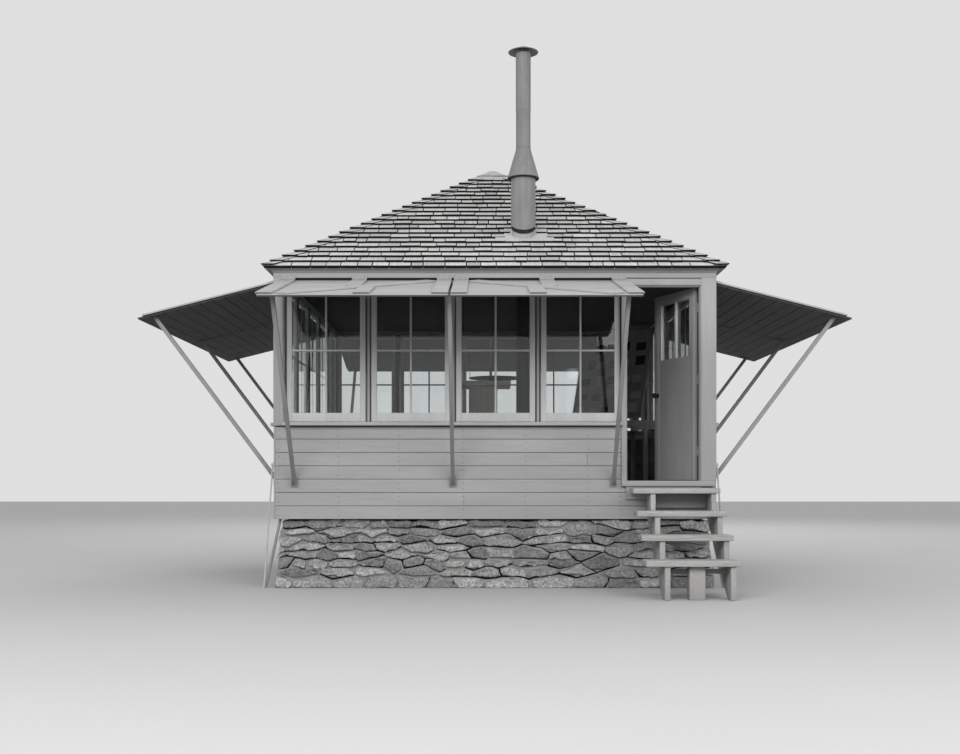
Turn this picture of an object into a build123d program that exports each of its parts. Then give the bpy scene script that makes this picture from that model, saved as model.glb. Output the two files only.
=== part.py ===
"""Fire lookout tower: a one-room hip-roofed cab on a rubble foundation.

Millimetres, +Z up. The origin is on the ground under the middle of the cab.
The front, with the door and the stair, faces -Y. Each of the four sides is
drawn looking at it from outside, then turned about Z to its place.
"""
from build123d import *
import os
from math import atan2, cos, degrees, hypot, radians, sin, tan

os.makedirs("parts", exist_ok=True)

# Plan of the cab
siding = 19.0                # rustic siding boards
trim = 19.0                  # corner boards, casings and fascia
stud = 92.0
lining = 12.0                # inside boards
post_side = 86.0             # corner posts
joint_gap = 0.3              # between pieces that are not fused

# Foundation and floor
foundation_height = 675.0
foundation_wall = 300.0
foundation_recess = 52.0     # top of the stone face behind the siding face
foundation_batter = 50.0     # how far the foot stands out past the top
sill_beam_width = 140.0
sill_beam_height = 90.0
joist_width = 45.0
joist_count = 7
floor_top = 1030.0
floor_thick = 38.0

# Walls and windows
siding_rows = 7
siding_board = 131.0
sill_thick = 39.0
sill_nose = 65.0             # past the siding face
sash_height = 1367.0
sash_width = 780.0
sash_count = 5               # on the three sides with no door
sash_end_gap = 4.0           # from a corner post to the first sash
sash_thick = 35.0
sash_inset = 43.0            # sash face behind the siding face
mullion_width = 55.0
mullion_recess = 62.0        # mullion face behind the siding face
stile_width = 55.0
bottom_rail = 89.0
top_rail = 50.0
muntin_width = 20.0
muntin_depth = 14.0
muntin_height = 703.0        # middle of the level muntin above the sash bottom
pane_thick = 4.0
pane_rebate = 8.0
pane_clearance = 1.0
head_height = 40.0
front_shift = 8.0            # front sashes stand this far right of the pitch
front_margin = 20.0          # from the last front sash to the door jamb
corner_board = 93.0
corner_casing = 149.0        # the wide corner board beside the door
side_corner_board = 74.0     # on the side walls below the sills

# Door
right_jamb = 44.0            # from the door to the corner post
door_sill_top = 1052.0
door_head_drop = 71.0        # below the wall plate
door_thick = 40.0
door_clearance = 5.0
door_free_clearance = 8.0    # wider, for the swing of the free edge
door_open = 66.0             # degrees, as it stands
door_stop = 12.0
jamb_thick = 32.0
left_casing = 45.0
head_casing = 60.0
threshold_thick = 54.0
threshold_nose = 27.0        # past the trim face
apron_height = 129.0
apron_thick = 25.0
door_stile = 105.0           # mean of the two
door_top_rail = 98.0
door_light_height = 567.0
door_light_shift = 17.0      # towards the hinges
door_muntin = 24.0
door_pane_inset = 6.0        # from the inner face
knob_height = 884.0
knob_inset = 62.0
hinge_low = 250.0            # foot of the lowest hinge over the door sill
hinge_high = 155.0           # top of the highest one below the door head
hinge_count = 3
hinge_length = 90.0
hinge_plate = 2.0
hinge_barrel = 6.0           # radius
hinge_pin = 3.0              # radius
hinge_play = 0.1
hinge_offset = 8.0           # pin axis inside the leaf's inner face
hinge_clear = 1.0            # barrel to jamb and to lining
hinge_flap = 38.0
knob_radius = 27.0
knob_reach = 58.0
knob_neck_radius = 10.0
knob_rose_radius = 26.0
knob_rose_thick = 5.0
knob_round = 11.0

# Eaves and roof
eave_overhang = 70.0         # past the trim face
roof_rise = 8.0              # 8 in 12
roof_run = 12.0
butt_thick = 20.0            # shingles at the eave, measured upright
deck_thick = 25.0            # boards under them, measured upright
fascia_height = 51.0
crown_height = 40.0
crown_flare = 62.0
crown_foot = 6.0             # flat at the foot of the cove, past the trim face
crown_edge = 12.0            # flat at its lip
crown_start = (0.25, 1.0)    # direction in which the cove leaves its foot
plate_seat = 125.0           # height of the wall plate at its outer face
cap_side = 465.0
cap_rise = 21.0
ceiling_rise = 6.0
ceiling_thick = 19.0

# Shutters, propped open
shutter_length = 1402.0      # hinge edge to outer edge, along the slope
shutter_slope = 14.13        # degrees below level
shutter_board = 19.0
batten_thick = 19.0
batten_width = 145.0
batten_overhang = 18.0
shutter_hinge_drop = 16.0    # below the fascia's lower edge
shutter_hinge_out = 3.0      # past the trim face
shutter_setback = 12.0       # boards start this far from the hinge line
shutter_end_gap = 89.0       # from the corner's face to the boards' end
seam_gap = 22.0
front_seam_shift = -2.5      # of the front seam from the middle mullion
front_shutter_gap = 14.0     # from its right end to the door
strap_thick = 3.0
strap_length = 75.0
strap_up = 46.0
prop_side = 38.0
prop_reach = 1231.0          # top of a prop from the siding face
prop_foot = 1036.0           # height of its foot on the wall
prop_inset = 120.0           # from the shutter's end
front_prop_insets = (115.0, 109.0)
bracket_width = 70.0
bracket_height = 100.0
bracket_thick = 5.0
bracket_ear = 50.0           # how far the ears stand out from the wall
bracket_ear_height = 60.0

# Stair
stair_rise = 211.0
stair_run = 296.0
tread_count = 4
tread_thick = 50.0
tread_depth = 280.0
tread_inset = 28.0           # left end from the door's left side
tread_past = 122.0           # right end past the door's right side
tread_nosing = 20.0
first_tread_drop = 72.0      # below the door sill
first_tread_front = 350.0    # past the siding face
stringer_thick = 48.0
stringer_inset = (167.0, 34.0)
stringer_depth = 200.0       # upright, under the notches
stair_post_side = 140.0
stair_post_shift = 46.5      # right of the middle of the treads
stair_tie_height = 239.0
stair_tie_side = 40.0
ledger_bottom = 788.0        # board on the wall between the stringers
ledger_thick = 38.0

# Chimney and stove
flue_x = 297.0
flue_from_lining = 411.0     # its axis from the inside of the front wall
flue_radius = 74.5
flue_wall = 2.5
lower_flue = 410.0           # length over the storm collar
upper_flue = 582.0
upper_flue_step = 2.0
jack_radius = 114.8
jack_wall = 3.0
jack_lap = 130.0             # of the tube inside the sleeve, at its side
jack_plate_width = 657.0
jack_plate_below = 170.0     # plan distance, down the slope
jack_plate_above = 230.0
jack_plate_thick = 4.0
band_height = 50.0           # of tarred packing below the sleeve
sleeve_radius = 125.7
sleeve_clearance = 113.0     # upright, from the shingles to the sleeve's lower edge
sleeve_rise = 678.0          # its top over the shingles at the flue
sleeve_wall = 3.0
cone_radius = 159.0
cone_lap = 86.0              # over the sleeve
cone_height = 284.0
cone_collar = 12.0
rain_cap_radius = 153.0
rain_cap_rise = 78.0         # its point over the flue
rain_cap_height = 62.0
rain_cap_strap = 22.0
rain_cap_straps = 4
rain_cap_strap_lap = 60.0
pipe_step = 2.0
stove_width = 340.0
stove_depth = 480.0
stove_height = 330.0
stove_leg = 180.0
stove_leg_side = 35.0

# Fire finder in the middle of the room, its table slid aside on the stand
finder_height = 1217.0       # top of the round table above the floor
finder_x = 27.0
finder_radius = 305.0
finder_plate = 10.0
finder_rim = 14.0
finder_hub_radius = 95.0
finder_hub = 45.0
finder_stand_x = -80.0
finder_board_side = 565.0
finder_board_thick = 57.0
finder_cabinet_x = -114.0
finder_cabinet_width = 326.0
finder_cabinet_depth = 420.0
finder_sight_inset = 12.0
finder_sight_width = 26.0
finder_sight_thick = 6.0
finder_sight_heights = (120.0, 280.0)

# Table in the back right corner, and a display board that leans into the corner
table_width = 870.0
table_depth = 1270.0
table_height = 762.0
table_top_thick = 25.0
table_apron = 70.0
table_apron_thick = 22.0
table_leg = 56.0
table_leg_inset = 143.0      # from the ends
display_width = 1140.0
display_height = 1181.0      # along the slant
display_thick = 12.0
display_lean = 13.2          # degrees from upright
display_drop = 50.0          # top of the board below the wall plate
display_frame = 24.0
display_frame_thick = 8.0
display_foot = 60.0
display_foot_inset = 90.0

# Tie rods at the corners
tie_rod_radius = 8.0
tie_eye_height = 1210.0
tie_eye_radius = 15.0
tie_foot_out = 100.0
tie_inset = 47.0             # from the corner's face
tie_plate_side = 60.0
tie_plate_thick = 6.0
tie_eye_end = 6.0            # of the eye past the rod
anchor_radius = 14.0         # stay pipes from under the walls to the ground
anchor_clear = 2.0           # from the stones at its head
anchor_lean = 145.0
anchor_inset = 70.0          # from the corner

# Lines that the sizes above give
sash_pitch = sash_width + mullion_width
sash_row = sash_count * sash_width + (sash_count - 1) * mullion_width
wall_face = sash_row / 2 + sash_end_gap + post_side
frame_face = wall_face - siding
trim_face = wall_face + trim
wall_inner = frame_face - stud - lining
post_inner = wall_face - post_side
sill_bottom = foundation_height + siding_rows * siding_board
sash_bottom = sill_bottom + sill_thick
sash_top = sash_bottom + sash_height
plate_bottom = sash_top + head_height
fascia_top = plate_bottom + fascia_height
crown_top = fascia_top + crown_height
eave = trim_face + eave_overhang
door_left = front_shift + sash_pitch + sash_width / 2 + front_margin + jamb_thick
door_right = post_inner - right_jamb
door_width = door_right - door_left
door_head = plate_bottom - door_head_drop
door_height = door_head - door_sill_top
roof_pitch = roof_rise / roof_run
threshold_bottom = door_sill_top - threshold_thick
flue_y = -(wall_inner - flue_from_lining)
TURNS = (0, 90, 180, 270)
SIDES = ("front", "right", "back", "left")


def roof_under(out):
    """Height of the shingles' underside at a distance out from the middle."""
    return crown_top + (eave - out) * roof_pitch


def roof_top(out):
    return roof_under(out) + butt_thick


def elevation(turn, out=0.0):
    """A side seen from outside: x to the right, y up, z outward."""
    c = cos(radians(turn))
    s = sin(radians(turn))
    return Plane(origin=(s * out, -c * out, 0), x_dir=(c, s, 0), z_dir=(s, -c, 0))


def section(turn, along=0.0):
    """A cut across a side: x outward, y up."""
    c = cos(radians(turn))
    s = sin(radians(turn))
    return Plane(origin=(c * along, s * along, 0), x_dir=(s, -c, 0), z_dir=(-c, -s, 0))


def keep(piece, name):
    """Name a finished piece and write it."""
    piece.part.label = name
    export_step(piece.part, f"parts/{name}.step")


def around(piece):
    """The piece on all four sides."""
    return [piece.rotate(Axis.Z, turn) for turn in TURNS]


def quarter(gap):
    """All that stands over the front quarter of the plan, cut on the hips."""
    with BuildPart() as wedge:
        with BuildSketch(Plane.XY):
            with BuildLine():
                Polyline((0, -gap), (eave, -eave - gap), (-eave, -eave - gap), close=True)
            make_face()
        extrude(amount=roof_top(0))
    return wedge.part


def wall(turn, out, depth, blocks, name):
    """Plain wall blocks of one side, each left, right, bottom, top; depth is inward."""
    with BuildPart() as masonry:
        with BuildSketch(elevation(turn, out)):
            for left, right, bottom, top in blocks:
                with Locations(((left + right) / 2, (bottom + top) / 2)):
                    Rectangle(right - left, top - bottom)
        extrude(amount=-depth)
    keep(masonry, name)


# Rubble foundation, four battered walls; the front and back ones hold the corners
stone_face = wall_face - foundation_recess
stone_foot = stone_face + foundation_batter
stone_inner = stone_face - foundation_wall
batter_angle = degrees(atan2(foundation_batter, foundation_height))
for turn, side in zip(TURNS, SIDES):
    with BuildPart() as stones:
        with BuildSketch(Plane.XY):
            Rectangle(2 * stone_foot, 2 * stone_foot)
        extrude(amount=foundation_height, taper=batter_angle)
        stone_end = stone_foot if turn in (0, 180) else stone_inner - joint_gap
        with BuildSketch(elevation(turn, stone_inner)):
            with Locations((0, foundation_height / 2)):
                Rectangle(2 * stone_end, foundation_height)
        extrude(amount=foundation_wall + foundation_batter, mode=Mode.INTERSECT)
    keep(stones, f"foundation_{side}")

# Floor frame on the foundation: a sill beam all round and joists over it
floor_half = wall_inner - joint_gap
joist_top = floor_top - floor_thick
with BuildPart() as floor_frame:
    with BuildSketch(Plane.XY.offset(foundation_height)):
        Rectangle(2 * floor_half, 2 * floor_half)
        Rectangle(2 * (floor_half - sill_beam_width), 2 * (floor_half - sill_beam_width), mode=Mode.SUBTRACT)
    extrude(amount=sill_beam_height)
    with BuildSketch(Plane.XY.offset(foundation_height + sill_beam_height)):
        joist_pitch = (2 * floor_half - joist_width) / (joist_count - 1)
        with GridLocations(joist_pitch, 0, joist_count, 1):
            Rectangle(joist_width, 2 * floor_half)
        with GridLocations(0, 2 * floor_half - joist_width, 1, 2):
            Rectangle(2 * floor_half, joist_width)
    extrude(amount=joist_top - foundation_height - sill_beam_height)
keep(floor_frame, "floor_frame")

with BuildPart() as floor_deck:
    with BuildSketch(Plane.XY.offset(joist_top)):
        Rectangle(2 * floor_half, 2 * floor_half)
    extrude(amount=floor_thick)
keep(floor_deck, "floor_deck")

# Walls up to the window sills; the front one is in three blocks round the doorway
wall_thick = wall_face - wall_inner
front_end = door_left - jamb_thick
wall(0, wall_face, wall_thick,
     [(-wall_face, front_end, foundation_height, sill_bottom),
      (front_end + joint_gap, wall_face, foundation_height, threshold_bottom),
      (post_inner, wall_face, threshold_bottom + joint_gap, sill_bottom)], "wall_front")
for turn, side in zip(TURNS[1:], SIDES[1:]):
    wall_end = wall_face if turn == 180 else wall_inner - joint_gap
    wall(turn, wall_face, wall_thick, [(-wall_end, wall_end, foundation_height, sill_bottom)],
         f"wall_{side}")

# Corner posts, from the walls to the wall plate
with BuildPart() as corner_posts:
    with BuildSketch(Plane.XY.offset(sill_bottom)):
        with GridLocations(2 * wall_face - post_side, 2 * wall_face - post_side, 2, 2):
            Rectangle(post_side, post_side)
    extrude(amount=plate_bottom - sill_bottom)
keep(corner_posts, "corner_posts")

# Corner boards: beside the windows two to a corner, below the sills one on the side walls.
# The front right one is also the door casing.
with BuildPart() as corner_boards:
    with BuildSketch(Plane.XY.offset(sill_bottom)):
        with GridLocations(2 * trim_face - corner_board, 2 * trim_face - corner_board, 2, 2):
            Rectangle(corner_board, corner_board)
        with Locations((trim_face - corner_casing / 2, -trim_face + corner_board / 2)):
            Rectangle(corner_casing, corner_board)
        Rectangle(2 * wall_face, 2 * wall_face, mode=Mode.SUBTRACT)
    extrude(amount=plate_bottom - sill_bottom)
    with BuildSketch(Plane.XY.offset(foundation_height)):
        with GridLocations(2 * wall_face + trim, 2 * wall_face - side_corner_board, 2, 2):
            Rectangle(trim, side_corner_board)
    extrude(amount=sill_bottom - foundation_height)
    with BuildSketch(Plane.XY.offset(door_sill_top)):
        with Locations((trim_face - corner_casing / 2, -(wall_face + trim_face) / 2)):
            Rectangle(corner_casing, trim)
    extrude(amount=sill_bottom - door_sill_top)
keep(corner_boards, "corner_boards")


def window_wall(turn, side, middles, left, right):
    """Sill, head, mullions and sashes of one side, with a pane in each sash."""
    sash_face = wall_face - sash_inset
    pane_face = sash_face - muntin_depth
    light_bottom = sash_bottom + bottom_rail
    light_top = sash_top - top_rail
    light_middle = (light_bottom + light_top) / 2
    light_width = sash_width - 2 * stile_width
    light_height = light_top - light_bottom
    span = right - left
    centre = (left + right) / 2
    nose_left = -(trim_face - corner_board) + joint_gap
    nose_right = -nose_left if turn else door_left - left_casing - joint_gap
    at_lights = [(x, light_middle) for x in middles]
    with BuildPart() as frame:
        with BuildSketch(elevation(turn, wall_face)):
            with Locations((centre, (sill_bottom + plate_bottom) / 2)):
                Rectangle(span, plate_bottom - sill_bottom)
            with Locations([(x, (sash_bottom + sash_top) / 2) for x in middles]):
                Rectangle(sash_width, sash_height, mode=Mode.SUBTRACT)
        extrude(amount=-post_side)
        with BuildSketch(elevation(turn, wall_face)):
            with Locations([(x + sash_pitch / 2, (sash_bottom + sash_top) / 2) for x in middles[:-1]]):
                Rectangle(mullion_width, sash_height)
        extrude(amount=-mullion_recess, mode=Mode.SUBTRACT)
        with BuildSketch(elevation(turn, sash_face)):
            with Locations([(x, (sash_bottom + sash_top) / 2) for x in middles]):
                Rectangle(sash_width, sash_height)
            with Locations(at_lights):
                Rectangle(light_width, light_height, mode=Mode.SUBTRACT)
        extrude(amount=-sash_thick)
        with BuildSketch(elevation(turn, pane_face)):
            with Locations(at_lights):
                Rectangle(light_width + 2 * pane_rebate, light_height + 2 * pane_rebate)
        extrude(amount=-sash_thick, mode=Mode.SUBTRACT)
        with BuildSketch(elevation(turn, sash_face)):
            with Locations(at_lights):
                Rectangle(muntin_width, light_height)
            with Locations([(x, sash_bottom + muntin_height) for x in middles]):
                Rectangle(light_width, muntin_width)
        extrude(amount=-muntin_depth)
        with BuildSketch(elevation(turn, wall_face)):
            with Locations(((nose_left + nose_right) / 2, (sill_bottom + sash_bottom) / 2)):
                Rectangle(nose_right - nose_left, sill_thick)
        extrude(amount=sill_nose)
    keep(frame, f"windows_{side}")

    pane_fit = 2 * (pane_rebate - pane_clearance)
    with BuildPart() as panes:
        with BuildSketch(elevation(turn, pane_face)):
            with Locations(at_lights):
                Rectangle(light_width + pane_fit, light_height + pane_fit)
        extrude(amount=-pane_thick)
    return panes.part


# Window walls: five sashes on three sides, four beside the door
full_row = [(i - (sash_count - 1) / 2) * sash_pitch for i in range(sash_count)]
front_row = [x + front_shift for x in full_row[:-1]]
window_end = post_inner - joint_gap
all_panes = [window_wall(0, "front", front_row, -window_end, front_end - joint_gap)]
for turn, side in zip(TURNS[1:], SIDES[1:]):
    all_panes.append(window_wall(turn, side, full_row, -window_end, window_end))
with BuildPart() as window_glass:
    add(all_panes)
keep(window_glass, "window_glass")

# Door frame: two jambs with casing and stop, and a head between the posts
leaf_face = wall_inner + door_thick + hinge_barrel + hinge_clear - hinge_offset
stop_depth = wall_face - leaf_face - door_clearance
jamb_left = front_end + joint_gap
jamb_right = post_inner - joint_gap
wall_middle = -(wall_face + wall_inner) / 2
trim_middle = -(wall_face + trim_face) / 2
stop_middle = -wall_face + stop_depth / 2
casing_left = door_left - left_casing
casing_right = trim_face - corner_casing - joint_gap
with BuildPart() as door_frame:
    with BuildSketch(Plane.XY.offset(door_sill_top)):
        with Locations(((jamb_left + door_left) / 2, wall_middle)):
            Rectangle(door_left - jamb_left, wall_thick)
        with Locations(((door_right + jamb_right) / 2, wall_middle)):
            Rectangle(jamb_right - door_right, wall_thick)
        with Locations((door_left + door_stop / 2, stop_middle), (door_right - door_stop / 2, stop_middle)):
            Rectangle(door_stop, stop_depth)
        with Locations(((casing_left + door_left) / 2, trim_middle)):
            Rectangle(left_casing, trim)
    extrude(amount=door_height - joint_gap)
    with BuildSketch(Plane.XY.offset(door_head)):
        with Locations(((jamb_left + jamb_right) / 2, wall_middle)):
            Rectangle(jamb_right - jamb_left, wall_thick)
    extrude(amount=plate_bottom - door_head)
    with BuildSketch(Plane.XY.offset(door_head)):
        with Locations(((casing_left + casing_right) / 2, trim_middle)):
            Rectangle(casing_right - casing_left, trim)
    extrude(amount=head_casing)
    with BuildSketch(Plane.XY.offset(door_head)):
        with Locations(((door_left + door_right) / 2, stop_middle)):
            Rectangle(door_width - 2 * (door_stop + joint_gap), stop_depth)
    extrude(amount=-door_stop)
keep(door_frame, "door_frame")

# Threshold, its nosing past the casings and an apron under it
nose_face = trim_face + threshold_nose
threshold_end = casing_right - joint_gap
with BuildPart() as threshold:
    with BuildSketch(Plane.XY.offset(threshold_bottom)):
        with BuildLine():
            Polyline((jamb_left, -wall_inner), (jamb_left, -wall_face), (casing_left, -wall_face),
                     (casing_left, -nose_face), (wall_face, -nose_face), (wall_face, -trim_face),
                     (threshold_end, -trim_face), (threshold_end, -wall_face),
                     (jamb_right, -wall_face), (jamb_right, -wall_inner), close=True)
        make_face()
    extrude(amount=threshold_thick)
    with BuildSketch(Plane.XY.offset(threshold_bottom)):
        with Locations(((door_left + threshold_end) / 2, -wall_face - apron_thick / 2)):
            Rectangle(threshold_end - door_left, apron_thick)
    extrude(amount=-apron_height)
keep(threshold, "door_threshold")

# Door leaf, standing open about its hinge pins
pin_x = door_right - hinge_plate - hinge_clear
pin_y = -(wall_inner - hinge_barrel - hinge_clear)
swing = radians(door_open)
leaf_plane = Plane(origin=(pin_x, pin_y, 0), x_dir=(cos(swing), -sin(swing), 0),
                   z_dir=(-sin(swing), -cos(swing), 0))
leaf_right = -hinge_plate
leaf_left = door_left + door_free_clearance - pin_x
leaf_bottom = door_sill_top + door_clearance
leaf_top = door_head - door_clearance
leaf_width = leaf_right - leaf_left
leaf_middle = (leaf_left + leaf_right) / 2
door_light_top = leaf_top - door_top_rail
door_light_width = leaf_width - 2 * door_stile
door_light_middle = door_light_top - door_light_height / 2
door_light_across = leaf_middle + door_light_shift
with BuildPart() as door_leaf:
    with BuildSketch(leaf_plane.offset(hinge_offset)):
        with Locations((leaf_middle, (leaf_bottom + leaf_top) / 2)):
            Rectangle(leaf_width, leaf_top - leaf_bottom)
        with Locations((door_light_across, door_light_middle)):
            Rectangle(door_light_width, door_light_height, mode=Mode.SUBTRACT)
            Rectangle(door_muntin, door_light_height)
    extrude(amount=door_thick)
    with BuildSketch(leaf_plane.offset(hinge_offset + door_pane_inset)):
        with Locations((door_light_across, door_light_middle)):
            Rectangle(door_light_width + 2 * pane_rebate, door_light_height + 2 * pane_rebate)
    extrude(amount=pane_thick, mode=Mode.SUBTRACT)
keep(door_leaf, "door_leaf")

door_pane_fit = 2 * (pane_rebate - pane_clearance)
with BuildPart() as door_glass:
    with BuildSketch(leaf_plane.offset(hinge_offset + door_pane_inset)):
        with Locations((door_light_across, door_light_middle)):
            Rectangle(door_light_width + door_pane_fit, door_light_height + door_pane_fit)
    extrude(amount=pane_thick)
keep(door_glass, "door_glass")

# Door knobs on both faces of the leaf: rose, neck and knob turned in one
with BuildPart() as door_knobs:
    knob_middle = door_sill_top + knob_height
    knob_from_pin = leaf_left + knob_inset
    for face, way in ((hinge_offset + door_thick, 1), (hinge_offset, -1)):
        knob_base = leaf_plane.offset(face).from_local_coords(Vector(knob_from_pin, knob_middle, 0))
        knob_plane = Plane(origin=knob_base, x_dir=leaf_plane.x_dir, z_dir=leaf_plane.z_dir * way)
        with BuildSketch(knob_plane):
            Circle(knob_rose_radius)
        extrude(amount=knob_rose_thick)
        with BuildSketch(knob_plane):
            Circle(knob_neck_radius)
        extrude(amount=knob_reach - knob_radius / 2)
        with BuildSketch(knob_plane.offset(knob_reach - knob_radius)):
            Circle(knob_radius)
        extrude(amount=knob_radius)
        fillet(door_knobs.faces().sort_by(Axis(knob_plane.origin, knob_plane.z_dir))[-1].edges(), knob_round)
keep(door_knobs, "door_knobs")

# Butt hinges: plates let on to jamb and leaf, three knuckles and a pin
knuckle = hinge_length / 3
hinge_step = (door_height - hinge_low - hinge_high - hinge_length) / (hinge_count - 1)
hinge_feet = [door_sill_top + hinge_low + i * hinge_step for i in range(hinge_count)]
with BuildPart() as jamb_hinges:
    for base in hinge_feet:
        with BuildSketch(Plane.XY.offset(base)):
            with Locations((door_right - hinge_plate / 2, pin_y - hinge_flap / 2)):
                Rectangle(hinge_plate, hinge_flap)
        extrude(amount=hinge_length)
        with BuildSketch(Plane.XY.offset(base)):
            with Locations((pin_x, pin_y)):
                Circle(hinge_barrel)
        extrude(amount=hinge_length)
        with BuildSketch(Plane.XY.offset(base + knuckle - hinge_play)):
            with Locations((pin_x, pin_y)):
                Circle(hinge_barrel + hinge_play)
                Circle(hinge_pin, mode=Mode.SUBTRACT)
        extrude(amount=knuckle + 2 * hinge_play, mode=Mode.SUBTRACT)
keep(jamb_hinges, "door_hinges_jamb")

with BuildPart() as leaf_hinges:
    for base in hinge_feet:
        with BuildSketch(Plane(origin=(pin_x, pin_y, base), x_dir=leaf_plane.x_dir, z_dir=(0, 0, 1))):
            with Locations((-hinge_plate / 2, -hinge_flap / 2)):
                Rectangle(hinge_plate, hinge_flap)
        extrude(amount=hinge_length)
        for third in (base, base + 2 * knuckle):
            with BuildSketch(Plane.XY.offset(third)):
                with Locations((pin_x, pin_y)):
                    Circle(hinge_barrel + hinge_play)
            extrude(amount=knuckle, mode=Mode.SUBTRACT)
        with BuildSketch(Plane.XY.offset(base + knuckle)):
            with Locations((pin_x, pin_y)):
                Circle(hinge_barrel)
        extrude(amount=knuckle)
        with BuildSketch(Plane.XY.offset(base)):
            with Locations((pin_x, pin_y)):
                Circle(hinge_pin + hinge_play)
        extrude(amount=hinge_length, mode=Mode.SUBTRACT)
keep(leaf_hinges, "door_hinges_leaf")

# Eaves are mitred lengths, four to a piece
mitred_quarter = quarter(joint_gap)
closed_quarter = quarter(0)


def eave_length(points, name):
    """A length of moulding from its cross-section, mitred and set on all four sides."""
    with BuildPart() as length:
        with BuildSketch(section(0)):
            with BuildLine():
                Polyline(*points, close=True)
            make_face()
        extrude(amount=eave, both=True)
        add(mitred_quarter, mode=Mode.INTERSECT)
    with BuildPart() as ring:
        add(around(length.part))
    keep(ring, name)


deck_under = plate_bottom + plate_seat
eave_length([(post_inner, plate_bottom), (wall_face - joint_gap, plate_bottom),
             (wall_face - joint_gap, deck_under),
             (post_inner, deck_under + post_side * roof_pitch)], "wall_plate")
eave_length([(wall_face, plate_bottom), (trim_face, plate_bottom), (trim_face, fascia_top),
             (wall_face, fascia_top)], "fascia")

# Crown moulding: a cove between two flats, its back up to the roof
crown_lip = trim_face + crown_flare
with BuildPart() as crown_length:
    with BuildSketch(section(0)):
        with BuildLine():
            foot = (trim_face + crown_foot, fascia_top)
            lip = (crown_lip, crown_top - crown_edge)
            Polyline(lip, (crown_lip, roof_under(crown_lip)), (wall_face, roof_under(wall_face)),
                     (wall_face, fascia_top), foot)
            TangentArc(foot, lip, tangent=crown_start)
        make_face()
    extrude(amount=eave, both=True)
    add(mitred_quarter, mode=Mode.INTERSECT)
with BuildPart() as crown:
    add(around(crown_length.part))
keep(crown, "crown_moulding")

# Ceiling boards, with a hole for the flue
with BuildPart() as ceiling:
    with BuildSketch(Plane.XY.offset(plate_bottom + ceiling_rise)):
        Rectangle(2 * post_inner - 2 * joint_gap, 2 * post_inner - 2 * joint_gap)
        with Locations((flue_x, flue_y)):
            Circle(flue_radius + joint_gap, mode=Mode.SUBTRACT)
    extrude(amount=ceiling_thick)
keep(ceiling, "ceiling")

# Hip roof: four equal slopes, boards under shingles; the flue goes through the front
for turn, side in zip(TURNS, SIDES):
    with BuildPart() as slope:
        with BuildSketch(section(0)):
            with BuildLine():
                Polyline((eave, roof_under(eave)), (eave, roof_top(eave)), (0, roof_top(0)),
                         (0, roof_under(0) - deck_thick), (wall_face, roof_under(wall_face) - deck_thick),
                         (wall_face, roof_under(wall_face)), close=True)
            make_face()
        extrude(amount=eave, both=True)
        add(mitred_quarter, mode=Mode.INTERSECT)
        if turn == 0:
            with BuildSketch(Plane.XY.offset(crown_top)):
                with Locations((flue_x, flue_y)):
                    Circle(jack_radius - jack_wall)
            extrude(amount=roof_top(0) - crown_top, mode=Mode.SUBTRACT)
    with BuildPart() as slope_in_place:
        add(slope.part.rotate(Axis.Z, turn))
    keep(slope_in_place, f"roof_{side}")

# Sheet metal cap over the point of the roof
cap_half = cap_side / 2
with BuildPart() as cap_quarter:
    with BuildSketch(section(0)):
        with BuildLine():
            Polyline((cap_half, roof_top(cap_half)), (cap_half, roof_top(cap_half) + cap_rise),
                     (0, roof_top(0) + cap_rise), (0, roof_top(0)), close=True)
        make_face()
    extrude(amount=cap_half, both=True)
    add(closed_quarter, mode=Mode.INTERSECT)
with BuildPart() as roof_cap:
    add(around(cap_quarter.part))
keep(roof_cap, "roof_cap")

# Shutters: boards along the hinge, battens and a brace on top
hinge_out = trim_face + shutter_hinge_out
hinge_height = plate_bottom - shutter_hinge_drop
slope = radians(shutter_slope)


def shutter_plane(turn, below=0.0):
    """Top of the battens: x along the hinge, y up the slope, z away from the ground."""
    c = cos(radians(turn))
    s = sin(radians(turn))
    normal = (s * sin(slope), -c * sin(slope), cos(slope))
    hinge = Plane(origin=(s * hinge_out, -c * hinge_out, hinge_height), x_dir=(c, s, 0), z_dir=normal)
    return hinge.offset(-below)


def shutter(turn, left, right, seam_side):
    """One shutter. Its brace climbs to the hinge at the seam side, 1 right or -1 left."""
    middle = (left + right) / 2
    length = right - left
    panel_length = shutter_length - shutter_setback
    panel_middle = -shutter_setback - panel_length / 2
    brace_rise = panel_length
    brace_run = length - 2 * batten_width
    brace_angle = degrees(atan2(brace_rise, brace_run)) * seam_side
    half = batten_width / 2
    outer = left - batten_overhang if seam_side == 1 else right + batten_overhang
    outer_middle = outer + half if seam_side == 1 else outer - half
    seam_middle = right - half if seam_side == 1 else left + half
    with BuildPart() as panel:
        with BuildSketch(shutter_plane(turn, batten_thick)):
            with Locations((middle, panel_middle)):
                Rectangle(length, panel_length)
        extrude(amount=-shutter_board)
        with BuildSketch(shutter_plane(turn, batten_thick)):
            with Locations((middle, panel_middle)):
                Rectangle(2 * hypot(brace_rise, brace_run), batten_width, rotation=brace_angle)
                Rectangle(length - batten_width, panel_length, mode=Mode.INTERSECT)
            with Locations((middle - seam_side * half, panel_middle + panel_length / 4),
                           (middle + seam_side * half, panel_middle - panel_length / 4)):
                Rectangle(batten_width, panel_length / 2)
            with Locations((outer_middle, panel_middle), (seam_middle, panel_middle)):
                Rectangle(batten_width, panel_length)
        extrude(amount=batten_thick)
    return panel, (outer_middle, middle - seam_side * half, seam_middle)


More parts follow.
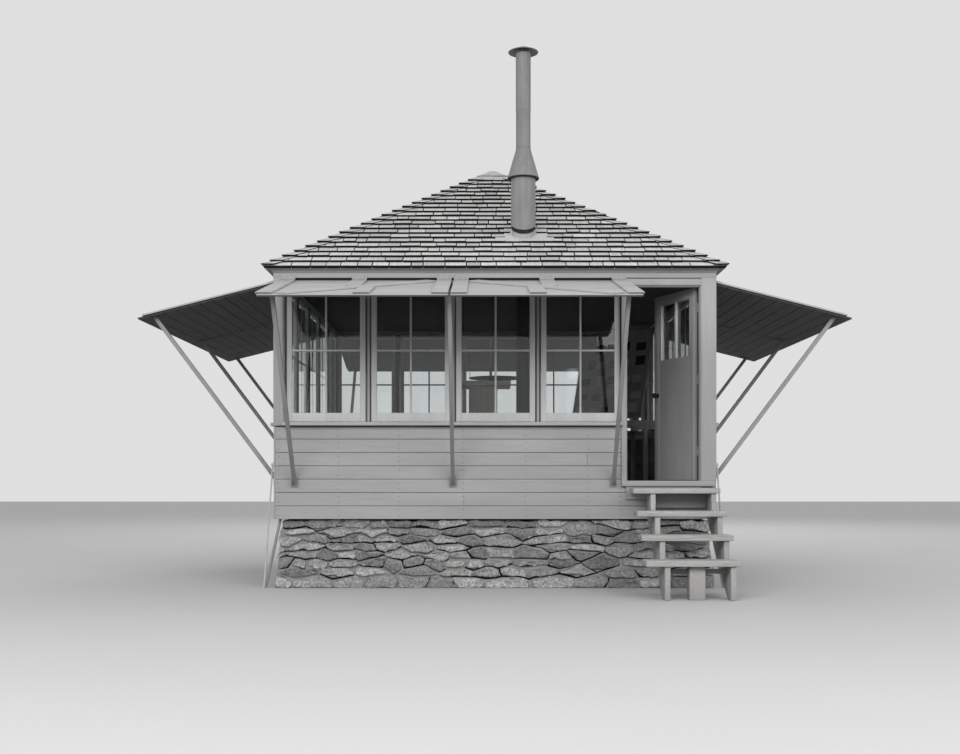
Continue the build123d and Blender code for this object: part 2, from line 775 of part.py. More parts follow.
def side_shutters(turn, side, left, seam, right):
    """The two shutters of a side, and where their battens meet the hinge."""
    left_panel, left_battens = shutter(turn, left, seam - seam_gap / 2, 1)
    right_panel, right_battens = shutter(turn, seam + seam_gap / 2, right, -1)
    with BuildPart() as pair:
        add([left_panel.part, right_panel.part])
    keep(pair, f"shutters_{side}")
    return left_battens + right_battens


shutter_end = trim_face - shutter_end_gap
front_seam = front_shift - sash_pitch / 2 + front_seam_shift
front_shutter_right = door_left - front_shutter_gap
battens = {0: side_shutters(0, "front", -shutter_end, front_seam, front_shutter_right)}
for turn, side in zip(TURNS[1:], SIDES[1:]):
    battens[turn] = side_shutters(turn, side, -shutter_end, 0.0, shutter_end)

# Strap hinges: a leaf on the fascia and a leaf on each batten
with BuildPart() as strap_hinges:
    for turn in TURNS:
        with BuildSketch(elevation(turn, trim_face)):
            with Locations([(x, hinge_height + strap_up / 2) for x in battens[turn]]):
                Rectangle(batten_width, strap_up)
        extrude(amount=strap_thick)
        with BuildSketch(shutter_plane(turn)):
            with Locations([(x, (strap_thick - strap_length) / 2) for x in battens[turn]]):
                Rectangle(batten_width, strap_length + strap_thick)
        extrude(amount=strap_thick)
keep(strap_hinges, "shutter_hinges")

# Props from a bracket on the wall to the underside of the shutters
prop_low_out = wall_face + bracket_thick
prop_high_out = wall_face + prop_reach
under_shutter = hinge_height - (batten_thick + shutter_board) / cos(slope) - joint_gap
prop_high = under_shutter - (prop_high_out - hinge_out) * tan(slope)
prop_slope = (prop_high - prop_foot) / (prop_high_out - prop_low_out)
prop_half = prop_side / 2 * hypot(1, prop_slope)
side_props = (-shutter_end + prop_inset, 0.0, shutter_end - prop_inset)
front_props = (-shutter_end + front_prop_insets[0], front_seam, front_shutter_right - front_prop_insets[1])


def prop_corner(up):
    """Where the upper (1) or lower (-1) edge of a prop meets the shutter."""
    start = prop_foot + up * prop_half
    run = (under_shutter - start + (hinge_out - prop_low_out) * tan(slope)) / (prop_slope + tan(slope))
    return (prop_low_out + run, start + run * prop_slope)


with BuildPart() as props:
    for turn in TURNS:
        for along in side_props if turn else front_props:
            with BuildSketch(section(turn, along)):
                with BuildLine():
                    Polyline((prop_low_out, prop_foot - prop_half), prop_corner(-1), prop_corner(1),
                             (prop_low_out, prop_foot + prop_half), close=True)
                make_face()
            extrude(amount=prop_side / 2, both=True)
keep(props, "shutter_props")

with BuildPart() as prop_brackets:
    for turn in TURNS:
        at_feet = [(along, prop_foot) for along in (side_props if turn else front_props)]
        with BuildSketch(elevation(turn, wall_face)):
            with Locations(at_feet):
                Rectangle(bracket_width, bracket_height)
        extrude(amount=bracket_thick)
        with BuildSketch(elevation(turn, wall_face)):
            with Locations(at_feet):
                with GridLocations(prop_side + bracket_thick + 2 * joint_gap, 0, 2, 1):
                    Rectangle(bracket_thick, bracket_ear_height)
        extrude(amount=bracket_ear)
keep(prop_brackets, "prop_brackets")

# Stair: four plank treads on two notched stringers
tread_left = door_left + tread_inset
tread_right = door_right + tread_past
tread_middle = (tread_left + tread_right) / 2
first_tread_top = door_sill_top - first_tread_drop
stair_back = wall_face + apron_thick + joint_gap
for i in range(tread_count):
    front = wall_face + first_tread_front + i * stair_run
    with BuildPart() as tread:
        with BuildSketch(Plane.XY.offset(first_tread_top - i * stair_rise)):
            with Locations((tread_middle, -front + tread_depth / 2)):
                Rectangle(tread_right - tread_left, tread_depth)
        extrude(amount=-tread_thick)
    keep(tread, f"step_{i + 1}")

notches = [(stair_back, first_tread_top - tread_thick)]
for i in range(tread_count):
    notch_out = wall_face + first_tread_front - tread_nosing + i * stair_run
    notch_up = first_tread_top - tread_thick - i * stair_rise
    notches += [(notch_out, notch_up), (notch_out, notch_up - stair_rise)]
toe_out, toe_up = notches[-2]
fall = stair_rise / stair_run
under_first = notches[2][1] - stringer_depth + (notches[2][0] - stair_back) * fall
heel_out = stair_back + under_first / fall
low_tread_under = first_tread_top - tread_thick - (tread_count - 1) * stair_rise
low_tread_middle = wall_face + first_tread_front + (tread_count - 1) * stair_run - tread_depth / 2
tie_left = tread_left + stringer_inset[0] + stringer_thick + joint_gap
tie_right = tread_right - stringer_inset[1] - stringer_thick - joint_gap
with BuildPart() as stair_frame:
    for edge in (tread_left + stringer_inset[0], tread_right - stringer_inset[1] - stringer_thick):
        with BuildSketch(section(0, edge)):
            with BuildLine():
                Polyline(*notches[:-1], (toe_out, 0), (heel_out, 0), (stair_back, under_first), close=True)
            make_face()
        extrude(amount=-stringer_thick)
    with BuildSketch(Plane.XY):
        with Locations((tread_middle + stair_post_shift, -low_tread_middle)):
            Rectangle(stair_post_side, stair_post_side)
    extrude(amount=low_tread_under)
    with BuildSketch(section(0, (tie_left + tie_right) / 2)):
        with Locations((low_tread_middle - stair_post_side / 2 - stair_tie_side, stair_tie_height)):
            Rectangle(stair_tie_side, stair_tie_side)
    extrude(amount=(tie_right - tie_left) / 2, both=True)
    ledger_top = first_tread_top - tread_thick - joint_gap
    with BuildSketch(elevation(0, stair_back)):
        with Locations(((tie_left + tie_right) / 2, (ledger_bottom + ledger_top) / 2)):
            Rectangle(tie_right - tie_left, ledger_top - ledger_bottom)
    extrude(amount=ledger_thick)
keep(stair_frame, "stair_frame")

# Roof jack: a plate on the slope and a tube round the flue
plate_low = -flue_y + jack_plate_below
plate_high = -flue_y - jack_plate_above
plate_rise = jack_plate_thick * hypot(1, roof_pitch)
sleeve_bottom = roof_top(-flue_y) + sleeve_clearance
jack_top = sleeve_bottom + jack_lap
sleeve_seat = jack_top + joint_gap
sleeve_top = roof_top(-flue_y) + sleeve_rise
cone_bottom = sleeve_top - cone_lap
cone_top = cone_bottom + cone_height
flue_joint = cone_top + lower_flue
flue_top = flue_joint + upper_flue
rain_cap_top = flue_top + rain_cap_rise
with BuildPart() as roof_jack:
    with BuildSketch(section(0, flue_x)):
        with BuildLine():
            Polyline((plate_low, roof_top(plate_low)), (plate_low, roof_top(plate_low) + plate_rise),
                     (plate_high, roof_top(plate_high) + plate_rise), (plate_high, roof_top(plate_high)),
                     close=True)
        make_face()
    extrude(amount=jack_plate_width / 2, both=True)
    with BuildSketch(Plane.XY.offset(roof_top(plate_low))):
        with Locations((flue_x, flue_y)):
            Circle(jack_radius)
    extrude(amount=jack_top - roof_top(plate_low))
    with BuildSketch(section(0, flue_x)):
        with BuildLine():
            Polyline((plate_low, roof_top(plate_low)), (plate_high, roof_top(plate_high)),
                     (plate_high, crown_top), (plate_low, crown_top), close=True)
        make_face()
    extrude(amount=jack_plate_width, both=True, mode=Mode.SUBTRACT)
    with BuildSketch(Plane.XY.offset(crown_top)):
        with Locations((flue_x, flue_y)):
            Circle(jack_radius - jack_wall)
    extrude(amount=jack_top, mode=Mode.SUBTRACT)
keep(roof_jack, "chimney_roof_jack")

# The rest of the chimney is turned about the flue's axis
flue_cut = Plane(origin=(flue_x, flue_y, 0), x_dir=(1, 0, 0), z_dir=(0, -1, 0))
flue_axis = Axis((flue_x, flue_y, 0), (0, 0, 1))


def along_roof(rise):
    """A plane that follows the front slope, a height above its shingles."""
    return Plane(origin=(flue_x, flue_y, roof_top(-flue_y) + rise), x_dir=(1, 0, 0),
                 z_dir=(0, -roof_pitch, 1))


def turned(points, name):
    """A piece turned about the flue from its half cross-section."""
    with BuildPart() as piece:
        with BuildSketch(flue_cut):
            with BuildLine():
                Polyline(*points, close=True)
            make_face()
        revolve(axis=flue_axis)
    keep(piece, name)


# Sleeve: it sits on the jack's upper edge, and its own lower edge follows the slope
sleeve_bore = sleeve_radius - sleeve_wall
packed_bore = jack_radius + joint_gap
packed_radius = sleeve_bore - joint_gap
with BuildPart() as sleeve:
    with BuildSketch(Plane.XY.offset(crown_top)):
        with Locations((flue_x, flue_y)):
            Circle(sleeve_radius)
            Circle(sleeve_bore, mode=Mode.SUBTRACT)
    extrude(amount=sleeve_top - crown_top)
    with BuildSketch(Plane.XY.offset(sleeve_seat)):
        with Locations((flue_x, flue_y)):
            Circle(sleeve_radius)
            Circle(jack_radius - jack_wall, mode=Mode.SUBTRACT)
    extrude(amount=sleeve_wall)
    split(bisect_by=along_roof(sleeve_clearance), keep=Keep.TOP)
keep(sleeve, "chimney_sleeve")

# Tarred packing between the jack and the sleeve
with BuildPart() as packing:
    with BuildSketch(Plane.XY.offset(crown_top)):
        with Locations((flue_x, flue_y)):
            Circle(packed_radius)
            Circle(packed_bore, mode=Mode.SUBTRACT)
    extrude(amount=jack_top - crown_top)
    split(bisect_by=along_roof(sleeve_clearance - band_height), keep=Keep.TOP)
keep(packing, "chimney_packing")

cone_hole = flue_radius + joint_gap
turned([(cone_radius - sleeve_wall, cone_bottom), (cone_radius, cone_bottom),
        (cone_hole + sleeve_wall, cone_top), (cone_hole, cone_top),
        (cone_hole, cone_top - cone_collar)], "chimney_storm_collar")

upper_radius = flue_radius + upper_flue_step
flue_bottom = plate_bottom + ceiling_rise
flue_bore = flue_radius - flue_wall
turned([(flue_bore, flue_bottom), (flue_radius, flue_bottom), (flue_radius, flue_joint),
        (upper_radius, flue_joint), (upper_radius, flue_top), (flue_bore, flue_top)], "chimney_flue")

with BuildPart() as rain_cap:
    with BuildSketch(flue_cut):
        with BuildLine():
            Polyline((0, rain_cap_top), (rain_cap_radius, rain_cap_top - rain_cap_height),
                     (rain_cap_radius, rain_cap_top - rain_cap_height - sleeve_wall),
                     (0, rain_cap_top - sleeve_wall), close=True)
        make_face()
    revolve(axis=flue_axis)
    strap_out = upper_radius + sleeve_wall / 2 + joint_gap
    strap_foot = flue_top - rain_cap_strap_lap
    strap_head = rain_cap_top - rain_cap_height * strap_out / rain_cap_radius - sleeve_wall / 2
    with BuildSketch(Plane.XY.offset(strap_foot)):
        with Locations((flue_x, flue_y)):
            with PolarLocations(strap_out, rain_cap_straps, start_angle=45):
                Rectangle(sleeve_wall, rain_cap_strap)
    extrude(amount=strap_head - strap_foot)
keep(rain_cap, "chimney_rain_cap")

# Stove under the flue, out of sight from outside, and its pipe up to the ceiling
stove_bottom = floor_top + stove_leg
stove_top = stove_bottom + stove_height
with BuildPart() as stove:
    with BuildSketch(Plane.XY.offset(stove_bottom)):
        with Locations((flue_x, flue_y)):
            RectangleRounded(stove_width, stove_depth, stove_leg_side)
    extrude(amount=stove_height)
    with BuildSketch(Plane.XY.offset(floor_top)):
        with Locations((flue_x, flue_y)):
            with GridLocations(stove_width - 2 * stove_leg_side, stove_depth - 2 * stove_leg_side, 2, 2):
                Rectangle(stove_leg_side, stove_leg_side)
    extrude(amount=stove_leg)
keep(stove, "stove")

pipe_radius = flue_radius - pipe_step
pipe_bore = pipe_radius - flue_wall
pipe_top = flue_bottom - joint_gap
turned([(pipe_bore, stove_top), (pipe_radius, stove_top), (pipe_radius, pipe_top), (pipe_bore, pipe_top)],
       "stove_pipe")

# Fire finder: a cabinet with a round sighting table on top
finder_top = floor_top + finder_height
board_top = finder_top - finder_plate - finder_hub
board_bottom = board_top - finder_board_thick
with BuildPart() as finder_stand:
    with BuildSketch(Plane.XY.offset(floor_top)):
        with Locations((finder_cabinet_x, 0)):
            Rectangle(finder_cabinet_width, finder_cabinet_depth)
    extrude(amount=board_bottom - floor_top)
    with BuildSketch(Plane.XY.offset(board_bottom)):
        with Locations((finder_stand_x, 0)):
            RectangleRounded(finder_board_side, finder_board_side, finder_rim)
    extrude(amount=finder_board_thick)
keep(finder_stand, "fire_finder_stand")

with BuildPart() as finder_table:
    with BuildSketch(Plane.XY.offset(board_top)):
        with Locations((finder_x, 0)):
            Circle(finder_hub_radius)
    extrude(amount=finder_hub)
    with BuildSketch(Plane.XY.offset(finder_top - finder_plate)):
        with Locations((finder_x, 0)):
            Circle(finder_radius)
    extrude(amount=finder_plate)
    for way, height in zip((1, -1), finder_sight_heights):
        with BuildSketch(Plane.XY.offset(finder_top)):
            with Locations((finder_x + way * (finder_radius - finder_sight_inset), 0)):
                Rectangle(finder_sight_thick, finder_sight_width)
        extrude(amount=height)
keep(finder_table, "fire_finder_table")

# Table: top, aprons in front and at the ends, and four legs
table_top = floor_top + table_height
table_end = wall_inner - joint_gap
table_middle = (table_end - table_width / 2, table_end - table_depth / 2)
with BuildPart() as table:
    with BuildSketch(Plane.XY.offset(table_top)):
        with Locations(table_middle):
            Rectangle(table_width, table_depth)
    extrude(amount=-table_top_thick)
    with BuildSketch(Plane.XY.offset(table_top - table_top_thick)):
        with Locations(table_middle):
            with Locations((0, (table_apron_thick - table_depth) / 2)):
                Rectangle(table_width, table_apron_thick)
            with GridLocations(table_width - 2 * table_leg_inset, 0, 2, 1):
                Rectangle(table_apron_thick, table_depth)
    extrude(amount=-table_apron)
    with BuildSketch(Plane.XY.offset(table_top - table_top_thick)):
        with Locations(table_middle):
            with GridLocations(table_width - 2 * table_leg_inset, table_depth - table_leg, 2, 2):
                Rectangle(table_leg, table_leg)
    extrude(amount=floor_top - table_top + table_top_thick)
keep(table, "corner_table")

# Display board: framed, on two foot blocks, its upper corners against the mullions
across = sin(radians(45))
lean = sin(radians(display_lean))
display_up = Vector(lean * across, lean * across, cos(radians(display_lean)))
display_across = Vector(-across, across, 0)
display_end = post_inner - joint_gap
display_corner = Vector(display_end, display_end - display_width * across, plate_bottom - display_drop)
display_foot_middle = display_corner - display_up * display_height + display_across * (display_width / 2)
display_plane = Plane(origin=display_foot_middle, x_dir=display_across,
                      z_dir=display_across.cross(display_up))
inside_width = display_width - 2 * display_frame
inside_height = display_height - 2 * display_frame
with BuildPart() as display:
    with BuildSketch(display_plane):
        with Locations((0, display_height / 2)):
            Rectangle(display_width, display_height)
    extrude(amount=-display_thick)
    with BuildSketch(display_plane.offset(-display_thick)):
        with Locations((0, display_height / 2)):
            Rectangle(display_width, display_height)
            Rectangle(inside_width, inside_height, mode=Mode.SUBTRACT)
    extrude(amount=-display_frame_thick)
    foot_base = (display_foot_middle.X, display_foot_middle.Y, table_top + joint_gap)
    with BuildSketch(Plane(origin=foot_base, x_dir=display_across, z_dir=(0, 0, 1))):
        with GridLocations(display_width - 2 * display_foot_inset, 0, 2, 1):
            Rectangle(display_foot, display_foot)
    extrude(amount=display_foot_middle.Z - table_top)
keep(display, "display_board")

# Tie rods: an eye plate on each side wall near its corners and a rod to the ground
tie_eye_at = trim_face + tie_plate_thick + tie_rod_radius
tie_foot_at = trim_face + tie_foot_out
tie_along = trim_face - tie_inset
with BuildPart() as tie_rods:
    for turn in (90, 270):
        for along in (-tie_along, tie_along):
            with BuildSketch(elevation(turn, trim_face)):
                with Locations((along, tie_eye_height)):
                    Rectangle(tie_plate_side, tie_plate_side)
            extrude(amount=tie_plate_thick)
            with BuildSketch(elevation(turn, trim_face)):
                with Locations((along, tie_eye_height)):
                    Circle(tie_eye_radius)
            extrude(amount=tie_plate_thick + 2 * tie_rod_radius + tie_eye_end)
            cut = section(turn, along)
            eye = cut.from_local_coords(Vector(tie_eye_at, tie_eye_height))
            foot = cut.from_local_coords(Vector(tie_foot_at, 0))
            with BuildSketch(Plane(origin=eye, x_dir=cut.z_dir, z_dir=foot - eye)):
                Circle(tie_rod_radius)
            extrude(amount=(foot - eye).length + tie_rod_radius)
    split(bisect_by=Plane.XY, keep=Keep.TOP)
keep(tie_rods, "tie_rods")

# Stay pipes at the corners, from under the side walls to the ground
anchor_along = wall_face - anchor_inset
anchor_head_out = stone_face + anchor_radius + anchor_clear
anchor_foot_out = anchor_head_out + anchor_lean
with BuildPart() as stay_pipes:
    for turn in (90, 270):
        for along in (-anchor_along, anchor_along):
            cut = section(turn, along)
            head = cut.from_local_coords(Vector(anchor_head_out, foundation_height))
            foot = cut.from_local_coords(Vector(anchor_foot_out, 0))
            start = head - (foot - head).normalized() * anchor_radius
            with BuildSketch(Plane(origin=start, x_dir=cut.z_dir, z_dir=foot - head)):
                Circle(anchor_radius)
            extrude(amount=(foot - head).length + 2 * anchor_radius)
    split(bisect_by=Plane.XY, keep=Keep.TOP)
    split(bisect_by=Plane.XY.offset(foundation_height - joint_gap), keep=Keep.BOTTOM)
keep(stay_pipes, "stay_pipes")
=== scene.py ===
"""Fire lookout tower: the looks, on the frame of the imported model.

Sizes are in millimetres, as in the source, and mm() brings them to metres. Each
side is built as the front, with x along it, a distance out from the middle and a
height, and is then turned about Z to its place.
"""
import bpy
from math import atan2, cos, hypot, radians, sin, tan
from mathutils import Matrix, Vector
from random import Random


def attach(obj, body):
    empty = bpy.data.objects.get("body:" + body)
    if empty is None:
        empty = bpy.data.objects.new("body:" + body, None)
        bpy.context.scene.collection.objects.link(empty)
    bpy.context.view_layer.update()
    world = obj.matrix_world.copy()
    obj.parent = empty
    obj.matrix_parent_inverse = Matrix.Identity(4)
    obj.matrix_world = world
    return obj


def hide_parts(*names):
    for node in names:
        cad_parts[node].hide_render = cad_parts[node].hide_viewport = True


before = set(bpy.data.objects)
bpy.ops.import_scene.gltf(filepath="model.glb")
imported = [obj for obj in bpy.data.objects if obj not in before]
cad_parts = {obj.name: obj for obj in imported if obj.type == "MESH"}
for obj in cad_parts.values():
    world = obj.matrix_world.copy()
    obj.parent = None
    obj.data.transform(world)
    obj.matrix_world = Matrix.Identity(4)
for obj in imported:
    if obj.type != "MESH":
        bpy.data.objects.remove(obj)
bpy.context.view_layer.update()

# Lines of the cab
wall_face = 2150.0
frame_face = 2131.0
wall_inner = 2027.0
post_inner = 2064.0
ground_wall_top = 675.0
siding_board = 131.0
siding_rows = 7
sill_bottom = 1592.0
sash_bottom = 1631.0
sash_top = 2998.0
plate_bottom = 3038.0
floor_top = 1030.0
crown_top = 3129.0
eave = 2239.0
roof_angle = atan2(8, 12)
deck_lift = 20.0
stone_foot = 2148.0
stone_lean = 50.0
casing_left = 1240.0
jamb_right = 2020.5
doorway_foot = 997.0
doorway_row = 2
frame_end = 2063.7
door_sill_top = 1052.0
door_head = 2967.0
front_sashes = (-1662.0, -827.0, 8.0, 843.0)
side_sashes = (-1670.0, -835.0, 0.0, 835.0, 1670.0)
flue_x = 297.0
flue_y = -1616.0
TURNS = {"front": 0, "right": 90, "back": 180, "left": 270}


def mm(*sizes):
    """Millimetres to metres."""
    return tuple(size / 1000 for size in sizes)


def at(x, out, up):
    """A point of the front side, in metres."""
    return Vector(mm(x, -out, up))


# Modelling helpers

def pick(piece):
    """Select this piece alone."""
    bpy.ops.object.select_all(action="DESELECT")
    piece.select_set(True)
    bpy.context.view_layer.objects.active = piece


def begin(name):
    """An empty piece at the origin, open for modelling."""
    bpy.ops.object.select_all(action="DESELECT")
    bpy.ops.mesh.primitive_cube_add(size=1, location=(0, 0, 0))
    piece = bpy.context.object
    piece.name = name
    bpy.ops.object.mode_set(mode="EDIT")
    bpy.ops.mesh.delete(type="VERT")
    return piece


def close(piece, smooth=30):
    """End of modelling: tidy faces and shading."""
    bpy.ops.object.mode_set(mode="OBJECT")
    pick(piece)
    bpy.ops.object.shade_smooth_by_angle(angle=radians(smooth))
    return piece


def chosen(piece, kind, test):
    """Select the vertices, edges or faces that pass a test, and go on modelling."""
    bpy.ops.mesh.select_mode(type=kind)
    bpy.ops.mesh.select_all(action="DESELECT")
    bpy.ops.object.mode_set(mode="OBJECT")
    data = piece.data
    items = {"VERT": data.vertices, "EDGE": data.edges, "FACE": data.polygons}[kind]
    for item in items:
        item.select = bool(test(item))
    bpy.ops.object.mode_set(mode="EDIT")


def block(middle, sizes, turn=0):
    """A block in the piece that is open, turned about the upright."""
    bpy.ops.mesh.primitive_cube_add(size=1, location=mm(*middle), rotation=(0, 0, turn), scale=mm(*sizes))


def ease(edge, steps=1):
    """A bevel on all edges of the piece that is open."""
    bpy.ops.mesh.select_all(action="SELECT")
    bpy.ops.mesh.bevel(offset=edge / 1000, segments=steps)


def lumber(spans):
    """Boards of the front side in the piece that is open: left, right, inner, outer, bottom, top."""
    for left, right, inner, outer, bottom, top in spans:
        block(((left + right) / 2, -(inner + outer) / 2, (bottom + top) / 2),
              (right - left, outer - inner, top - bottom))


def boards(name, spans, edge=2.0, steps=1):
    """Boards with eased edges."""
    piece = begin(name)
    lumber(spans)
    ease(edge, steps)
    return close(piece)


def twin(piece, matrix, name):
    """A copy with its own mesh, moved by a matrix."""
    copy = bpy.data.objects.new(name, piece.data.copy())
    copy.data.transform(matrix)
    bpy.context.collection.objects.link(copy)
    return copy


def joined(name, pieces):
    """Many pieces made one."""
    bpy.ops.object.select_all(action="DESELECT")
    for piece in pieces:
        piece.select_set(True)
    bpy.context.view_layer.objects.active = pieces[0]
    bpy.ops.object.join()
    whole = bpy.context.object
    whole.name = name
    return whole


def drop(piece):
    """A pattern piece that is done with is taken out."""
    bpy.data.objects.remove(piece, do_unlink=True)


def turn_by(side):
    """From the front to another side."""
    return Matrix.Rotation(radians(TURNS[side]), 4, "Z")


def modified(piece, kind, **settings):
    """A modifier added, set and applied."""
    pick(piece)
    bpy.ops.object.modifier_add(type=kind)
    modifier = piece.modifiers[-1]
    for key, value in settings.items():
        setattr(modifier, key, value)
    bpy.ops.object.modifier_apply(modifier=modifier.name)


def soften(node, material, slot, width=2.0, steps=2, smooth=30, body="cab"):
    """A copy of a CAD node, its flat faces made whole and its edges eased, takes the node's place."""
    piece = bpy.data.objects.new(f"{node}_eased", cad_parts[node].data.copy())
    piece.data.materials.clear()
    bpy.context.collection.objects.link(piece)
    pick(piece)
    bpy.ops.object.mode_set(mode="EDIT")
    bpy.ops.mesh.select_all(action="SELECT")
    bpy.ops.mesh.customdata_custom_splitnormals_clear()
    bpy.ops.mesh.remove_doubles(threshold=0.00002)
    bpy.ops.mesh.dissolve_limited(angle_limit=radians(0.5))
    bpy.ops.object.mode_set(mode="OBJECT")
    modified(piece, "BEVEL", width=width / 1000, segments=steps, limit_method="ANGLE",
             angle_limit=radians(32))
    hand_over(close(piece, smooth), material, slot, node, body=body)


def lathe(name, rings):
    """Sheet metal turned about the flue's axis: each ring a radius and a height."""
    piece = begin(name)
    radius, height = rings[0]
    bpy.ops.mesh.primitive_circle_add(vertices=64, radius=radius / 1000,
                                      location=mm(flue_x, flue_y, height))
    for next_radius, next_height in rings[1:]:
        bpy.ops.mesh.extrude_region_move(
            TRANSFORM_OT_translate={"value": (0, 0, (next_height - height) / 1000)})
        grow = next_radius / radius
        bpy.ops.transform.resize(value=(grow, grow, 1),
                                 center_override=mm(flue_x, flue_y, next_height))
        radius, height = next_radius, next_height
    bpy.ops.mesh.select_all(action="SELECT")
    bpy.ops.mesh.remove_doubles(threshold=0.0001)
    bpy.ops.mesh.normals_make_consistent(inside=False)
    return close(piece, smooth=40)


def cut_off(piece, point, normal, fill=False):
    """Everything on the side the normal points to is cut away."""
    pick(piece)
    bpy.ops.object.mode_set(mode="EDIT")
    bpy.ops.mesh.select_all(action="SELECT")
    bpy.ops.mesh.bisect(plane_co=point, plane_no=normal, use_fill=fill, clear_outer=True)
    bpy.ops.object.mode_set(mode="OBJECT")


# Finishes

class Finish:
    """A material with its node tree and a few short ways to add nodes."""

    def __init__(self, name, roughness, metallic=0.0):
        self.material = bpy.data.materials.new(name)
        self.material.use_nodes = True
        self.tree = self.material.node_tree
        self.shader = self.tree.nodes["Principled BSDF"]
        self.shader.inputs["Roughness"].default_value = roughness
        self.shader.inputs["Metallic"].default_value = metallic
        self.place = self.add("ShaderNodeTexCoord").outputs["Object"]

    def add(self, kind, inputs=None, **settings):
        """A node with its settings and the values of its inputs."""
        node = self.tree.nodes.new(kind)
        for key, value in settings.items():
            setattr(node, key, value)
        for key, value in (inputs or {}).items():
            node.inputs[key].default_value = value
        return node

    def link(self, source, target):
        """An output brought to an input."""
        self.tree.links.new(source, target)

    def stretched(self, scale):
        """Object coordinates, stretched."""
        mapping = self.add("ShaderNodeMapping", {"Scale": scale})
        self.link(self.place, mapping.inputs["Vector"])
        return mapping.outputs["Vector"]

    def noise(self, scale, stretch=(1, 1, 1), detail=4, rough=0.6, low=0.0, high=1.0,
              start=0.3, end=0.7):
        """Noise that runs from low to high."""
        noise = self.add("ShaderNodeTexNoise", {"Scale": scale, "Detail": detail, "Roughness": rough})
        self.link(self.stretched(stretch), noise.inputs["Vector"])
        return self.ranged(noise.outputs["Fac"], start, end, low, high)

    def ranged(self, value, start, end, low, high):
        """A number brought from one range to another."""
        span = self.add("ShaderNodeMapRange",
                        {"From Min": start, "From Max": end, "To Min": low, "To Max": high})
        self.link(value, span.inputs["Value"])
        return span.outputs["Result"]

    def each_piece(self, low, high):
        """A number for each board, stone or shingle of the mesh."""
        island = self.add("ShaderNodeNewGeometry").outputs["Random Per Island"]
        return self.ranged(island, 0, 1, low, high)

    def times(self, *values):
        """The product of some numbers."""
        product = values[0]
        for value in values[1:]:
            node = self.add("ShaderNodeMath", operation="MULTIPLY")
            self.link(product, node.inputs[0])
            self.link(value, node.inputs[1])
            product = node.outputs[0]
        return product

    def mixed(self, share, first, second):
        """Between two colours or colour outputs."""
        node = self.add("ShaderNodeMix", data_type="RGBA")
        self.link(share, node.inputs["Factor"])
        for colour, socket in ((first, node.inputs[6]), (second, node.inputs[7])):
            if isinstance(colour, tuple):
                socket.default_value = (*colour, 1)
            else:
                self.link(colour, socket)
        return node.outputs[2]

    def shaded(self, colour, factor):
        """A colour made lighter or darker by a number."""
        node = self.add("ShaderNodeVectorMath", operation="SCALE")
        if isinstance(colour, tuple):
            node.inputs[0].default_value = colour
        else:
            self.link(colour, node.inputs[0])
        self.link(factor, node.inputs["Scale"])
        return node.outputs[0]

    def done(self, colour, relief=None, depth=0.001, strength=1.0, rough=None):
        """The colour, the bump and the roughness brought to the shader."""
        self.link(colour, self.shader.inputs["Base Color"])
        if relief is not None:
            bump = self.add("ShaderNodeBump", {"Distance": depth, "Strength": strength})
            self.link(relief, bump.inputs["Height"])
            self.link(bump.outputs["Normal"], self.shader.inputs["Normal"])
        if rough is not None:
            self.link(rough, self.shader.inputs["Roughness"])
        return self.material


def grey(tone, warm=0.0):
    """A neutral colour from its lightness on screen, 0 to 255."""
    value = (tone / 255) ** 2.2
    return (value * (1 + warm), value, value * (1 - warm))


def drawn_out(axis, along, across):
    """The scales of a pattern that runs along an axis."""
    return tuple(along if each == axis else across for each in "xyz")


def painted_wood(name, tone, along, wear, vary, grain=0.07, roughness=0.62):
    """Old paint on boards: brush and grain along them, worn spots, each board its own tone."""
    finish = Finish(name, roughness)
    long = drawn_out(along, 2, 60)
    soft = drawn_out(along, 0.5, 3)
    grain_lines = finish.noise(1.0, long, detail=6, rough=0.65, low=1 - grain, high=1 + grain)
    cloud = finish.noise(1.3, soft, detail=5, low=0.90, high=1.08)
    board = finish.each_piece(1 - vary, 1 + vary)
    coat = finish.shaded(grey(tone), finish.times(grain_lines, cloud, board))
    spots = finish.noise(2.2, long, detail=8, rough=0.75, high=wear, start=0.60, end=0.74)
    colour = finish.mixed(spots, coat, grey(105, 0.02))
    rough = finish.noise(9, soft, detail=3, low=roughness - 0.1, high=roughness + 0.14)
    return finish.done(colour, grain_lines, depth=0.0012, strength=0.5, rough=rough)


def bare_wood(name, tone, along="x", vary=0.12, grain=0.22, roughness=0.8, warm=0.015):
    """Weathered boards with open grain, checks and knots of tone."""
    finish = Finish(name, roughness)
    long = drawn_out(along, 1.5, 45)
    fine = drawn_out(along, 6, 220)
    lines = finish.noise(1.0, long, detail=7, rough=0.7, low=1 - grain, high=1 + grain)
    checks = finish.noise(1.0, fine, detail=3, low=0.72, high=1.04, start=0.36, end=0.5)
    cloud = finish.noise(1.8, low=0.88, high=1.1)
    board = finish.each_piece(1 - vary, 1 + vary)
    colour = finish.shaded(grey(tone, warm), finish.times(lines, checks, cloud, board))
    relief = finish.times(lines, checks)
    return finish.done(colour, relief, depth=0.002, strength=0.6)


def shingle_wood(name, across):
    """Silvered split shingles: each its own grey, with split lines up the slope."""
    finish = Finish(name, 0.85)
    long = drawn_out(across, 55, 2.5)
    splits = finish.noise(1.0, long, detail=6, rough=0.7, low=0.80, high=1.14)
    cloud = finish.noise(0.9, detail=5, rough=0.65, low=0.88, high=1.10)
    board = finish.each_piece(0.82, 1.14)
    colour = finish.shaded(grey(200, 0.01), finish.times(splits, cloud, board))
    return finish.done(colour, splits, depth=0.003, strength=0.7)


